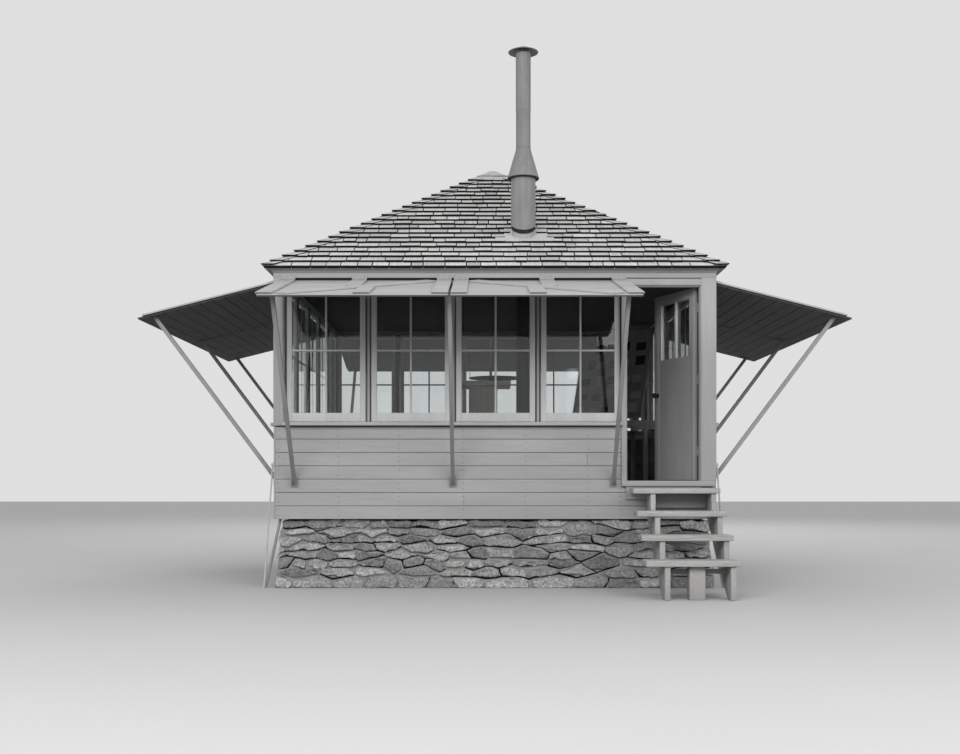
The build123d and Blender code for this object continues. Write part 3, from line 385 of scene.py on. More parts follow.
def field_stone(name):
    """Split stone, each its own tone, with grain, seams and lichen."""
    finish = Finish(name, 0.9)
    grain = finish.noise(42, detail=10, rough=0.8, low=0.36, high=1.66, start=0.36, end=0.64)
    beds = finish.noise(5.0, (1, 1, 3), detail=6, rough=0.65, low=0.74, high=1.18)
    stone = finish.each_piece(0.60, 1.38)
    body = finish.shaded(grey(180, 0.01), finish.times(grain, beds, stone))
    patches = finish.noise(7.5, detail=8, rough=0.7, high=0.7, start=0.62, end=0.70)
    colour = finish.mixed(patches, body, grey(188))
    relief = finish.times(grain, beds)
    return finish.done(colour, relief, depth=0.012, strength=0.8)


def mortar_bed(name, tone):
    """Sandy lime mortar."""
    finish = Finish(name, 0.95)
    sand = finish.noise(120, detail=6, rough=0.8, low=0.6, high=1.2)
    cloud = finish.noise(5, low=0.75, high=1.15)
    colour = finish.shaded(grey(tone, 0.01), finish.times(sand, cloud))
    return finish.done(colour, sand, depth=0.004, strength=0.8)


def sheet_metal(name, tone, streaks, metallic, roughness=0.5):
    """Dull zinc on sheet: spangle, run-down streaks and stain."""
    finish = Finish(name, roughness, metallic)
    long = drawn_out("z", 1.5, 30)
    runs = finish.noise(1.0, long, detail=5, low=1 - streaks, high=1 + streaks)
    stain = finish.noise(3.0, detail=6, rough=0.7, low=0.84, high=1.1)
    crystals = finish.add("ShaderNodeTexVoronoi", {"Scale": 90})
    finish.link(finish.place, crystals.inputs["Vector"])
    spangle = finish.ranged(crystals.outputs["Distance"], 0, 0.8, 0.95, 1.06)
    colour = finish.shaded(grey(tone), finish.times(runs, stain, spangle))
    rough = finish.noise(6, low=roughness - 0.1, high=roughness + 0.18)
    return finish.done(colour, stain, depth=0.0015, strength=0.4, rough=rough)


def iron(name, tone, roughness=0.55, metallic=0.5):
    """Iron with pits and a little rust, bare or painted."""
    finish = Finish(name, roughness, metallic)
    pits = finish.noise(60, detail=6, rough=0.7, low=0.7, high=1.25)
    rust = finish.noise(9, detail=6, rough=0.7, high=0.5, start=0.58, end=0.68)
    colour = finish.mixed(rust, finish.shaded(grey(tone), pits), grey(tone + 22, 0.05))
    return finish.done(colour, pits, depth=0.0008, strength=0.5)


def clear_glass(name):
    """Old drawn glass, lightly rippled."""
    finish = Finish(name, 0.0)
    finish.shader.inputs["Transmission Weight"].default_value = 1.0
    finish.shader.inputs["IOR"].default_value = 1.45
    ripple = finish.noise(3.0, (1, 1, 0.4), detail=2)
    tint = finish.noise(1.2, detail=2, low=0.95)
    return finish.done(finish.shaded((0.86, 0.89, 0.89), tint), ripple, depth=0.0006, strength=0.1)


facings = (("x", "front"), ("y", "side"))
siding_paint = {axis: painted_wood(f"siding_paint_{facing}", 166, axis, wear=0.3, vary=0.04)
                for axis, facing in facings}
trim_paint = {axis: painted_wood(f"trim_paint_{axis}", 164, axis, wear=0.3, vary=0.02) for axis in "xz"}
sash_paint = painted_wood("sash_paint", 197, "z", wear=0.15, vary=0.03, grain=0.04)
sill_paint = painted_wood("sill_paint", 174, "x", wear=0.3, vary=0.02)
# Painted shade: the mullion backs and the door's cover strip are painted dark for the shade in their
# recesses.
recess_shade_paint = painted_wood("recess_shade_paint", 92, "z", wear=0.1, vary=0.02)
crown_paint = painted_wood("crown_paint", 164, "x", wear=0.3, vary=0.02)
shutter_top = {axis: painted_wood(f"shutter_paint_{facing}", 176, axis, wear=0.12, vary=0.03, grain=0.03)
               for axis, facing in facings}
# Painted shade: the end faces of the battens are painted darker for the shade they stand in.
batten_end_shade = painted_wood("batten_end_shade_paint", 118, "x", wear=0.2, vary=0.03, grain=0.03)
# Painted shade: the shutters' undersides are bare boards painted darker for the shade beneath them, the side
# pairs darker than the front.
shutter_under_shade = {"x": bare_wood("shutter_boards_front", 90, "x", vary=0.08, grain=0.12),
                 "y": bare_wood("shutter_boards_side", 74, "y", vary=0.08, grain=0.12)}
# Painted shade: the props are the trim's paint made darker for the shade of the shutters over them.
prop_shade_paint = painted_wood("prop_shade_paint", 148, "z", wear=0.3, vary=0.08)
door_paint = painted_wood("door_paint", 164, "z", wear=0.2, vary=0.03)
# Painted light: the reveals of the door's lights that face the hinge side are painted lighter, as if lit.
door_reveal_lit = painted_wood("door_reveal_lit_paint", 208, "z", wear=0.1, vary=0.03)
lining_wood = bare_wood("lining_boards", 134, "x")
# Painted shade: the ceiling boards are darker than the other boards for the shade under the roof.
ceiling_wood_shade = bare_wood("ceiling_boards", 60, "x", vary=0.14)
floor_wood = bare_wood("floor_boards", 120, "y", warm=0.04)
plank_wood = bare_wood("stair_planks", 170, "x", vary=0.06, grain=0.14)
stringer_wood = bare_wood("stair_stringers", 168, "y", vary=0.06, grain=0.14)
cabinet_wood = bare_wood("cabinet_varnish", 172, "z", vary=0.05, grain=0.12, roughness=0.4, warm=0.08)
shingles_wood = {axis: shingle_wood(f"shingles_{facing}", axis) for axis, facing in facings}
hip_wood = bare_wood("hip_boards", 214, "x", vary=0.08, grain=0.12)
# Painted shade: the shingles' weather ends and sides are near black, partly dark end grain, mostly the shade
# under each course and in the gaps.
shingle_ends_shade = bare_wood("shingle_ends_shade", 13, "z", vary=0.3)
# Painted shade: the underlay seen in the shingle gaps and the sill plates under the siding are painted dark
# for the shade there.
shade_underlay = bare_wood("underlay_shade", 40, "x")
stone = field_stone("field_stone")
mortar = mortar_bed("lime_mortar", 156)
# Painted shade: the wall's heart is painted dark for the shade seen in the joints and voids between stones.
wall_heart_shade = mortar_bed("wall_heart_shade", 36)
flue_metal = sheet_metal("flue_sheet", 136, streaks=0.12, metallic=0.05, roughness=0.7)
flashing_metal = sheet_metal("flashing_sheet", 196, streaks=0.1, metallic=0.1, roughness=0.6)
jack_metal = sheet_metal("jack_sheet", 166, streaks=0.1, metallic=0.1, roughness=0.6)
collar_metal = sheet_metal("collar_sheet", 134, streaks=0.1, metallic=0.05, roughness=0.7)
rod_metal = sheet_metal("zinc_rod", 204, streaks=0.1, metallic=0.2)
pipe_metal = sheet_metal("zinc_pipe", 160, streaks=0.1, metallic=0.3)
cap_metal = sheet_metal("roof_cap_sheet", 182, streaks=0.1, metallic=0.1)
# Near black: real tar on the packing ring; painted shade on the strip over the shutters' hinges and on the
# ring under the storm collar.
tar_and_shade = iron("tar_and_shade_black", 40, roughness=0.9, metallic=0.0)
black_iron = iron("black_iron", 52)
hinge_paint = iron("hinge_paint", 160, roughness=0.6, metallic=0.0)
bracket_paint = iron("bracket_paint", 146, roughness=0.7, metallic=0.0)
enamel = iron("finder_enamel", 40, roughness=0.6, metallic=0.0)
nail_iron = iron("nail_heads", 78, roughness=0.7, metallic=0.3)
glass = clear_glass("window_glass_clear")
display_paint = painted_wood("display_paint", 150, "z", wear=0.1, vary=0.02, grain=0.03)
paper = painted_wood("pinned_paper", 188, "x", wear=0.0, vary=0.1, grain=0.01, roughness=0.8)
print_dark = painted_wood("pinned_prints_grey", 44, "x", wear=0.1, vary=0.25, grain=0.03, roughness=0.5)


def hand_over(piece, material, slot, *nodes, body="cab"):
    """The piece gets its finish, its body and the CAD nodes it stands for."""
    materials = material if isinstance(material, (list, tuple)) else [material]
    if len(piece.data.materials) != len(materials):
        piece.data.materials.clear()
        for each in materials:
            piece.data.materials.append(each)
    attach(piece, body)
    if nodes:
        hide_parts(*nodes)


def refinish(node, material):
    """A CAD node that stays gets its finish."""
    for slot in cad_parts[node].material_slots:
        slot.link = "OBJECT"
        slot.material = material


def axis_of(side):
    """The axis a side runs along."""
    return "x" if side in ("front", "back") else "y"


# Rubble foundation: stones laid in broken courses on each face, with pointing set back between them

def stone_sites(chance, half):
    """Middles of the stones of one face, in rows of uneven height, larger ones below."""
    sites = []
    level = 0
    for row, rise in enumerate((112, 92, 70, 92, 64, 84, 62, 83)):
        x = -half - chance.uniform(0, 200)
        while x < half + 200:
            if row < 2 or chance.random() > 0.1:
                sites.append((x, level + rise / 2 + chance.uniform(-13, 13)))
            x += chance.uniform(200, 500) if row < 2 else chance.uniform(130, 400)
        level += rise
    return sites


def clipped(outline, point, normal, tag):
    """What is left of an outline behind a line; each corner keeps the tag of the edge it starts."""
    kept = []
    for number, (ax, az, edge) in enumerate(outline):
        bx, bz = outline[(number + 1) % len(outline)][:2]
        a = (ax - point[0]) * normal[0] + (az - point[1]) * normal[1]
        b = (bx - point[0]) * normal[0] + (bz - point[1]) * normal[1]
        if a <= 0:
            kept.append((ax, az, edge))
        if a * b < 0:
            share = a / (a - b)
            kept.append((ax + (bx - ax) * share, az + (bz - az) * share, tag if a <= 0 else edge))
    return kept


def outline_of(site, sites, end, height, side_joint, top_joint, foot_joint):
    """An outline about a site and the lines that bound it: half way to its neighbours, less a joint."""
    flat = 2.6
    taper = stone_lean / ground_wall_top
    lines = [((way * end, 0), (way, taper)) for way in (1, -1)]
    for other in sites:
        across = other[0] - site[0]
        rise = other[1] - site[1]
        if other == site or hypot(across / flat, rise) > 330:
            continue
        normal = Vector((across / flat ** 2, rise)).normalized()
        joint = top_joint if normal.y > 0.35 else foot_joint if normal.y < -0.35 else side_joint
        middle = ((site[0] + other[0]) / 2 - normal.x * joint, (site[1] + other[1]) / 2 - normal.y * joint)
        lines.append((middle, (normal.x, normal.y)))
    outline = [(-end, 0, None), (end, 0, None), (end, height, None), (-end, height, None)]
    for tag, (point, normal) in enumerate(lines):
        outline = clipped(outline, point, normal, tag)
    return outline, [lines[tag] for tag in {corner[2] for corner in outline} if tag is not None]


def corner_cuts(outline):
    """Lines that take the sharp corners off an outline."""
    cuts = []
    for number, (x, z, _) in enumerate(outline):
        before = Vector((outline[number - 1][0] - x, outline[number - 1][1] - z))
        after = outline[(number + 1) % len(outline)]
        after = Vector((after[0] - x, after[1] - z))
        leg = min(before.length, after.length)
        way = -(before.normalized() + after.normalized())
        if leg > 20 and way.length > 0.45:
            way.normalize()
            depth = min(leg * 0.17, 24)
            cuts.append(((x - way.x * depth, z - way.y * depth), (way.x, way.y)))
    return cuts


def cut_block(outline, lines, inner, face, cuts):
    """A block of the front side cut to an outline, its faces divided for their roughness."""
    xs = [corner[0] for corner in outline]
    zs = [corner[1] for corner in outline]
    piece = begin("block")
    lumber([(min(xs) - 0.5, max(xs) + 0.5, inner, face, min(zs) - 0.5, max(zs) + 0.5)])
    bpy.ops.mesh.subdivide(number_cuts=cuts + 1 if max(xs) - min(xs) > 200 else cuts)
    for point, normal in lines:
        bpy.ops.mesh.select_all(action="SELECT")
        bpy.ops.mesh.bisect(plane_co=at(point[0], face, point[1]), plane_no=(normal[0], 0, normal[1]),
                            use_fill=True, clear_outer=True)
    bpy.ops.mesh.select_all(action="SELECT")
    bpy.ops.mesh.remove_doubles(threshold=0.006)
    bpy.ops.object.mode_set(mode="OBJECT")
    return piece


def lay_stones(side, opposite, seed):
    """The stones of a side and the pointing set back between them; the opposite side is the same."""
    chance = Random(seed)
    end = stone_foot if axis_of(side) == "x" else stone_foot - 92
    height = ground_wall_top - 16
    sites = stone_sites(chance, end)
    blocks = {"rubble": [], "pointing": []}
    for site in sites:
        foot_joint = chance.uniform(11, 18)
        face = stone_foot + chance.uniform(-6, 14)
        bed = stone_foot - 19 + chance.uniform(-3, 3)
        outline, lines = outline_of(site, sites, end, height, chance.uniform(8, 17), chance.uniform(6, 14),
                                    foot_joint)
        xs = [corner[0] for corner in outline]
        zs = [corner[1] for corner in outline]
        if not outline or max(xs) - min(xs) < 50 or max(zs) - min(zs) < 24:
            foot_joint = -1
        else:
            blocks["rubble"].append(cut_block(outline, lines + corner_cuts(outline), face - 90, face, 3))
        foot_joint = foot_joint if chance.random() < 0.7 else -1
        outline, lines = outline_of(site, sites, end, height, -7, -1, foot_joint)
        if len(outline) > 2:
            blocks["pointing"].append(cut_block(outline, lines, bed - 60, bed, 1))
    foot = Matrix.Translation(at(0, stone_foot, 0))
    lean = foot @ Matrix.Rotation(-atan2(stone_lean, ground_wall_top), 4, "X") @ foot.inverted()
    for kind, width, rough, finish in (("rubble", 0.014, 0.06, stone), ("pointing", 0.003, 0.016, mortar)):
        wall = joined(f"{kind}_{side}", blocks[kind])
        modified(wall, "BEVEL", width=width, segments=2, limit_method="ANGLE", angle_limit=radians(45))
        modified(wall, "DISPLACE", texture=split_face, texture_coords="LOCAL", strength=rough, mid_level=0.5)
        for way, reach in (("X", 0.06), ("Z", 0.045)):
            modified(wall, "DISPLACE", texture=uneven, texture_coords="LOCAL", direction=way,
                     strength=reach, mid_level=0.5)
        close(wall, smooth=38)
        wall.data.transform(lean)
        cut_off(wall, (0, 0, 0), (0, 0, -1), fill=True)
        other = twin(wall, turn_by(opposite), f"{kind}_{opposite}")
        wall.data.transform(turn_by(side))
        hand_over(wall, finish, "rubble_stone", f"foundation_{side}")
        hand_over(other, finish, "rubble_stone", f"foundation_{opposite}")


split_face = bpy.data.textures.new("split_face", "CLOUDS")
split_face.noise_scale = 0.05
split_face.noise_depth = 3
uneven = bpy.data.textures.new("uneven", "CLOUDS")
uneven.noise_scale = 0.14
uneven.noise_depth = 2
lay_stones("front", "back", 11)
lay_stones("right", "left", 12)

# The heart of the walls, an open ring behind the stones, painted dark for the shade in the open joints
core = begin("mortar_core")
block((0, 0, 329), (4200, 4200, 658))
chosen(core, "FACE", lambda face: face.normal.z > 0.9)
bpy.ops.transform.resize(value=(0.9767, 0.9767, 1), center_override=mm(0, 0, 658))
bpy.ops.mesh.inset(thickness=0.25)
chosen(core, "FACE", lambda face: face.normal.z < -0.9)
bpy.ops.mesh.inset(thickness=0.299)
chosen(core, "FACE", lambda face: abs(face.normal.z) > 0.9 and face.area > 10)
bpy.ops.mesh.bridge_edge_loops()
ease(6)
close(core)
hand_over(core, wall_heart_shade, "rubble_stone", "foundation_front", "foundation_back", "foundation_left",
          "foundation_right")
# Sill plates under the siding, painted dark for the shade line beneath it.
for side in TURNS:
    end = 2030 if axis_of(side) == "x" else 1900
    plate = boards(f"sill_plate_{side}", [(-end, end, 1901, 2030, 655, 674)])
    plate.data.transform(turn_by(side))
    hand_over(plate, shade_underlay, "rubble_stone")

# Walls: rustic siding outside, boards inside, the studs' thickness between

def siding_spans(side):
    """The siding boards of a side: left, right, bottom, top."""
    spans = []
    joints = {1: -304.0, 4: 905.0} if side == "front" else {0: 640.0, 3: -930.0, 5: 310.0}
    end = wall_face if axis_of(side) == "x" else frame_face
    for row in range(siding_rows):
        bottom = ground_wall_top + row * siding_board
        top = bottom + siding_board
        pieces = [(-end, end, bottom, top)]
        if side == "front" and row >= doorway_row:
            pieces = [(-end, casing_left, bottom, top), (jamb_right, end, bottom, top)]
            if row == doorway_row:
                pieces.insert(1, (casing_left, jamb_right - 1.5, bottom, doorway_foot))
        if row in joints:
            left, right, low, high = pieces[0]
            pieces[0:1] = [(left, joints[row] - 0.8, low, high), (joints[row] + 0.8, right, low, high)]
        spans += pieces
    return spans


def siding(side):
    """Rustic boards: a hollow along the top of each, which the next one's edge shades."""
    piece = begin(f"siding_{side}")
    lumber([(left, right, frame_face, wall_face, bottom + 1.5, top - (15.0 if top > sill_bottom - 2 else 1.0))
            for left, right, bottom, top in siding_spans(side)])
    tops = [ground_wall_top + row * siding_board - 1.0 for row in range(1, siding_rows)]
    tops += [doorway_foot - 1.0]

    def top_front(edge):
        ends = [piece.data.vertices[i].co for i in edge.vertices]
        front = all(-end.y * 1000 > wall_face - 1 for end in ends)
        return front and all(any(abs(end.z * 1000 - top) < 0.3 for top in tops) for end in ends)

    chosen(piece, "EDGE", top_front)
    bpy.ops.mesh.bevel(offset=0.013, segments=3, profile=0.35)
    close(piece)
    modified(piece, "BEVEL", width=0.0016, segments=1, limit_method="ANGLE", angle_limit=radians(50))
    piece.data.transform(turn_by(side))
    hand_over(piece, siding_paint[axis_of(side)], "painted_siding", f"wall_{side}")


def wall_blocks(side):
    """The parts of a wall behind the siding: left, right, bottom, top."""
    if side == "front":
        return [(-frame_face, 1253, ground_wall_top, sill_bottom),
                (1253.3, frame_face, ground_wall_top, 998), (post_inner, frame_face, 998.3, sill_bottom)]
    end = frame_face if side == "back" else wall_inner
    return [(-end, end, ground_wall_top, sill_bottom)]


def studs_and_lining(side):
    """The wall's thickness, and nine lining boards over it inside."""
    blocks = wall_blocks(side)
    lining_face = wall_inner + 12
    core = boards(f"wall_core_{side}", [(left, right, lining_face, frame_face, bottom, top)
                                        for left, right, bottom, top in blocks])
    spans = []
    for left, right, bottom, top in blocks:
        left = max(left, -wall_inner)
        right = min(right, wall_inner)
        if right - left < 60:
            continue
        bottom = max(bottom, ground_wall_top + 1)
        rows = 9
        rise = (top - bottom) / rows
        for row in range(rows):
            low = bottom + row * rise
            spans.append((left, right, wall_inner, lining_face, low + 0.6, low + rise - 0.6))
    lining = boards(f"wall_lining_{side}", spans, edge=3)
    for piece in (core, lining):
        piece.data.transform(turn_by(side))
        hand_over(piece, lining_wood, "painted_siding", f"wall_{side}")


for side in TURNS:
    siding(side)
    studs_and_lining(side)


def nail_rows(side):
    """Nail heads, two to a board at each stud."""
    chance = Random(40 + TURNS[side])
    nail = begin("nail")
    bpy.ops.mesh.primitive_cylinder_add(vertices=8, radius=0.0042, depth=0.003,
                                        rotation=(radians(90), 0, 0))
    ease(0.8)
    close(nail)
    columns = [-2121, -1536, -939, -312, 303, 912] + ([1228] if side == "front" else [1512, 2121])
    heads = []
    for row in range(siding_rows):
        for x in columns:
            for up in (34, 92):
                x_here = x + chance.uniform(-7, 7)
                height = ground_wall_top + row * siding_board + up + chance.uniform(-4, 4)
                place = Matrix.Translation(at(x_here, wall_face - 0.4, height))
                heads.append(twin(nail, turn_by(side) @ place, "nail_head"))
    drop(nail)
    hand_over(joined(f"siding_nails_{side}", heads), nail_iron, "painted_siding")


for side in TURNS:
    nail_rows(side)

# Windows

def make_sash():
    """One sash about x 0: stiles, rails and muntins, eased where they meet the glass."""
    half = 388.0
    face = wall_face - 43
    back = face - 35
    low = sash_bottom + 2
    high = sash_top - 2
    light = half - 53
    light_low = low + 87
    light_top = high - 48
    members = boards("sash", [
        (-half, -light, back, face, low, high), (light, half, back, face, low, high),
        (-light, light, back + 0.5, face - 0.5, low, light_low),
        (-light, light, back + 0.5, face - 0.5, light_top, high)], edge=3, steps=2)
    level = sash_bottom + 703
    bars = boards("sash_bars", [
        (-light, light, face - 17, face - 2, level - 10, level + 10),
        (-10, 10, face - 16, face - 1, light_low, light_top)], edge=6, steps=2)
    return joined("sash", [members, bars])


def make_windows(side, middles, left, right, nose_left, nose_right):
    """Mullions, head and sill of a side, with their sashes."""
    posts = []
    backs = []
    edges = [left] + [edge for x in middles for edge in (x - 390, x + 390)] + [right]
    for start, end in zip(edges[0::2], edges[1::2]):
        if end - start > 30:
            backs.append((start, end, post_inner, wall_face - 66, sash_bottom, sash_top))
            posts.append((start + 16, end - 16, wall_face - 68, wall_face - 56, sash_bottom, sash_top))
        else:
            backs.append((start + 2, end - 3, post_inner, wall_face - 14, sash_bottom, sash_top))
    posts.append((left, right, post_inner, wall_face, sash_top, plate_bottom))
    framing = boards(f"window_frame_{side}", posts)
    # Painted shade: the mullions' backs are dark for the shade in the recess.
    recess = boards(f"mullion_recess_{side}", backs)
    # Painted shade: a near-black strip along the hinge line stands for the shade in the gap above the
    # shutters.
    shade_sheet = boards(f"hinge_shade_strip_{side}", [(left, right, wall_face, wall_face + 2, 3015, 3037)], edge=0.5)
    sill = begin(f"window_sill_{side}")
    lumber([(nose_left, nose_right, wall_face - 50, wall_face + 65, sill_bottom, sash_bottom - 1),
            (left, right, post_inner, wall_face - 48, sill_bottom, sash_bottom)])
    chosen(sill, "VERT", lambda v: -v.co.y * 1000 > wall_face + 60 and v.co.z * 1000 > sash_bottom - 5)
    bpy.ops.transform.translate(value=(0, 0, -0.006))
    ease(4, steps=2)
    close(sill)
    sash = make_sash()
    sashes = [twin(sash, Matrix.Translation(mm(x, 0, 0)), "sash_copy") for x in middles]
    drop(sash)
    sashes = joined(f"sashes_{side}", sashes)
    for piece, finish in ((framing, trim_paint["z"]), (recess, recess_shade_paint), (shade_sheet, tar_and_shade),
                          (sill, sill_paint), (sashes, sash_paint)):
        piece.data.transform(turn_by(side))
        hand_over(piece, finish, "painted_sash", f"windows_{side}")


make_windows("front", front_sashes, -frame_end, 1252.7, -frame_end - 12, 1239.7)
for side in ("right", "back", "left"):
    make_windows(side, side_sashes, -frame_end, frame_end, -frame_end - 12, frame_end + 12)
refinish("window_glass", glass)
refinish("door_glass", glass)

# Trim that keeps the form of its CAD node
for node, axis in (("corner_boards", "z"), ("corner_posts", "z"), ("door_frame", "z"),
                   ("door_threshold", "x"), ("fascia", "x"), ("crown_moulding", "x"),
                   ("wall_plate", "x")):
    paint = crown_paint if node == "crown_moulding" else trim_paint[axis]
    soften(node, paint, "painted_trim", width=2.5)

# Roof: courses of shingles on each slope, cut on the hips, and caps along the hips
exposure = 121.0
first_course = 70.0
slope_length = eave / cos(roof_angle)
shingle_length = 165.0


def slope_place(x, up_slope, lift):
    """From the plane of the front slope, x across and y up it, to its place."""
    return (Matrix.Translation(at(0, eave, crown_top + deck_lift)) @ Matrix.Rotation(roof_angle, 4, "X")
            @ Matrix.Translation(mm(x, up_slope, lift)))


def cut_at_hips(piece):
    """What lies past the two hips of the front slope is cut away."""
    for way in (1, -1):
        cut_off(piece, (0, 0, 0), (way, 1, 0), fill=True)


def shingle_shape():
    """A split shingle 1 wide, 1 long and 1 thick, its lower end eased."""
    piece = begin("shingle_shape")
    bpy.ops.mesh.primitive_cube_add(size=1, location=(0, 0.5, -0.5))
    chosen(piece, "EDGE", lambda edge: all(piece.data.vertices[i].co.z > -0.1 and
                                           piece.data.vertices[i].co.y < 0.1 for i in edge.vertices))
    bpy.ops.mesh.bevel(offset=0.012, segments=1)
    return close(piece, smooth=20)


def shingle_finish(shape, side):
    """The shape's faces get this side's shingle finish, and the weather end and the sides the near-black one
    of painted shade.
    """
    shape.data.materials.clear()
    shape.data.materials.append(shingles_wood[axis_of(side)])
    shape.data.materials.append(shingle_ends_shade)
    for face in shape.data.polygons:
        # Painted shade: butts and sides take the near-black finish.
        face.material_index = 1 if face.normal.y < -0.6 or abs(face.normal.x) > 0.6 else 0


def course_starts():
    """Where the courses start, up the slope from the eave."""
    starts = [-18.0]
    while starts[-1] < slope_length - 2 * exposure:
        starts.append(first_course + (len(starts) - 1) * exposure)
    return starts


def open_span(side, start):
    """Where a course stops for the flashing and the chimney."""
    if side == "front" and 660 < start < 700:
        return (flue_x - 186, flue_x + 236)
    if side == "front" and 700 < start < 900:
        return (flue_x - 132, flue_x + 132)
    return None


def lay_shingles(side, seed, shape):
    """The courses of a slope, each shingle turned and slipped a little."""
    chance = Random(seed)
    laid = []
    for start in course_starts():
        half = (slope_length - start) * cos(roof_angle) + 30
        gap = open_span(side, start)
        runs = [(-half, half)] if gap is None else [(-half, gap[0]), (gap[1], half)]
        first = start < 0
        for run_left, run_right in runs:
            x = run_left - (chance.uniform(0, 90) if run_left == -half else 0)
            while x < run_right - 15:
                width = chance.uniform(95, 245)
                if run_right != half and run_right - x - width < 70:
                    width = run_right - x
                slip = 0 if first else chance.uniform(-6, 6)
                butt = 28 if first else chance.uniform(18, 24)
                top = 4 if first else butt + chance.uniform(0, 1.5)
                fall = (top - 1) / (first_course + 8 if first else exposure)
                size = Matrix.Diagonal((*mm(width - chance.uniform(6, 13), shingle_length, butt), 1))
                twist = (Matrix.Rotation(radians(chance.uniform(-0.9, 0.9)), 4, "Z")
                         @ Matrix.Rotation(-fall, 4, "X"))
                place = slope_place(x + width / 2, start + slip, top)
                laid.append(twin(shape, place @ twist @ size, "shingle"))
                x += width
    cover = joined(f"shingles_{side}", laid)
    cut_at_hips(cover)
    cover.data.transform(turn_by(side))
    hand_over(cover, [shingles_wood[axis_of(side)], shingle_ends_shade], "wood_shingles")


def lay_hip_caps(side, seed, shape):
    """The half of each hip's caps that lies on this slope: butts level with the courses."""
    chance = Random(seed)
    laid = []
    for way in (1, -1):
        for start in course_starts():
            edge = (slope_length - start) * cos(roof_angle)
            if edge < 265:
                continue
            width = 108 + chance.uniform(-5, 5) + 40
            rise = 30 + chance.uniform(-2, 2)
            slant = Matrix.Identity(4)
            slant[0][1] = -way * cos(roof_angle)
            size = Matrix.Diagonal((*mm(width, shingle_length, 10), 1))
            fall = Matrix.Rotation(-(rise - 8) / exposure, 4, "X")
            place = slope_place(way * (edge + 40 - width / 2), start - 5, rise)
            laid.append(twin(shape, place @ slant @ fall @ size, "cap"))
    caps = joined(f"hip_caps_{side}", laid)
    cut_at_hips(caps)
    caps.data.transform(turn_by(side))
    caps.data.materials[0] = hip_wood
    hand_over(caps, [hip_wood, shingle_ends_shade], "wood_shingles")


shape = shingle_shape()
for number, side in enumerate(TURNS):
    shingle_finish(shape, side)
    lay_shingles(side, 70 + number, shape)
    lay_hip_caps(side, 90 + number, shape)
    # Painted shade: the deck under the shingles is painted dark.
    refinish(f"roof_{side}", shade_underlay)
drop(shape)
soften("roof_cap", cap_metal, "galvanised_sheet", width=1)

# Shutters, propped open: boards along the hinge, battens and a brace on top
hinge_out = 2172.0
hinge_height = 3022.0
shutter_slope = radians(14.13)
shutter_length = 1402.0
hinge_gap = 12.0
board_rows = 11
half_batten = 72.5
# From a shutter's own plane to its place on the front
shutter_place = (Matrix.Translation(at(0, hinge_out, hinge_height))
                 @ Matrix.Rotation(shutter_slope, 4, "X"))


def shutter_piece(left, right, seam_side, chance):
    """One shutter in its own plane: x along the hinge, y towards it, z up from it."""
    piece = begin("shutter")
    middle = (left + right) / 2
    panel = shutter_length - hinge_gap
    board = panel / board_rows
    for row in range(board_rows):
        near = hinge_gap + row * board
        block((middle, -near - board / 2, -28.5 + chance.uniform(-0.5, 0.3)), (right - left, board - 3, 19))
    ease(3)
    outer = left - 18 + half_batten if seam_side == 1 else right + 18 - half_batten
    seam = right - half_batten if seam_side == 1 else left + half_batten
    bars = [(outer, hinge_gap, panel - 55), (seam, hinge_gap, panel - 55),
            (middle - seam_side * half_batten, hinge_gap, panel / 2 - 34),
            (middle + seam_side * half_batten, hinge_gap + panel / 2 + 34, panel / 2 - 89)]
    for x, near, run in bars:
        block((x, -near - run / 2, -9.5), (144, run, 18.4))
    run_x = right - left - 4 * half_batten
    block((middle, -hinge_gap - panel / 2, -9.6), (hypot(run_x, panel) - 150, 132, 17.8),
          atan2(panel, run_x) * seam_side)
    chosen(piece, "VERT", lambda vertex: vertex.co.z > -0.0192)
    bpy.ops.mesh.bevel(offset=0.0022, segments=1)
    return close(piece)


def make_shutters(side, left, seam, right, seed):
    """The pair of a side, with a seam between them."""
    chance = Random(seed)
    panels = [shutter_piece(left, seam - 11, 1, chance), shutter_piece(seam + 11, right, -1, chance)]
    pair = joined(f"shutter_pair_{side}", panels)
    finishes = [shutter_top[axis_of(side)], shutter_under_shade[axis_of(side)], batten_end_shade]
    for material in finishes:
        pair.data.materials.append(material)
    # Painted shade: faces turned down take the dark underside boards.
    for face in pair.data.polygons:
        below = face.normal.z < -0.1 or (abs(face.normal.z) < 0.1 and face.center.z < -0.021)
        # Painted shade: batten end faces get the darker paint.
        end = face.normal.y < -0.9 and face.center.z > -0.02
        face.material_index = 1 if below else 2 if end else 0
    pair.data.transform(turn_by(side) @ shutter_place)
    hand_over(pair, finishes, "shutter_boards", f"shutters_{side}")


make_shutters("front", -2080, -412, 1271, 101)
for number, side in enumerate(("right", "back", "left")):
    make_shutters(side, -2080, 0, 2080, 102 + number)

# A strip closes the seam of the back pair, which stands against the light
strip = begin("shutter_seam_back")
block((0, -6 - shutter_length / 2, -29), (20, shutter_length - 16, 14))
ease(1)
close(strip)
strip.data.transform(turn_by("back") @ shutter_place)
hand_over(strip, shutter_under_shade["x"], "shutter_boards")
soften("shutter_hinges", hinge_paint, "painted_hinge", width=0.8, steps=1)
# The props take the darker paint of painted shade.
soften("shutter_props", prop_shade_paint, "painted_prop", width=3)
soften("prop_brackets", bracket_paint, "dark_iron", width=1.2, steps=1)

# Door: built shut in its own plane about the pin, then swung to where it stands
pin = Vector((2.017, -2.020, 0))
door_swing = Matrix.Translation(pin) @ Matrix.Rotation(radians(-66), 4, "Z")


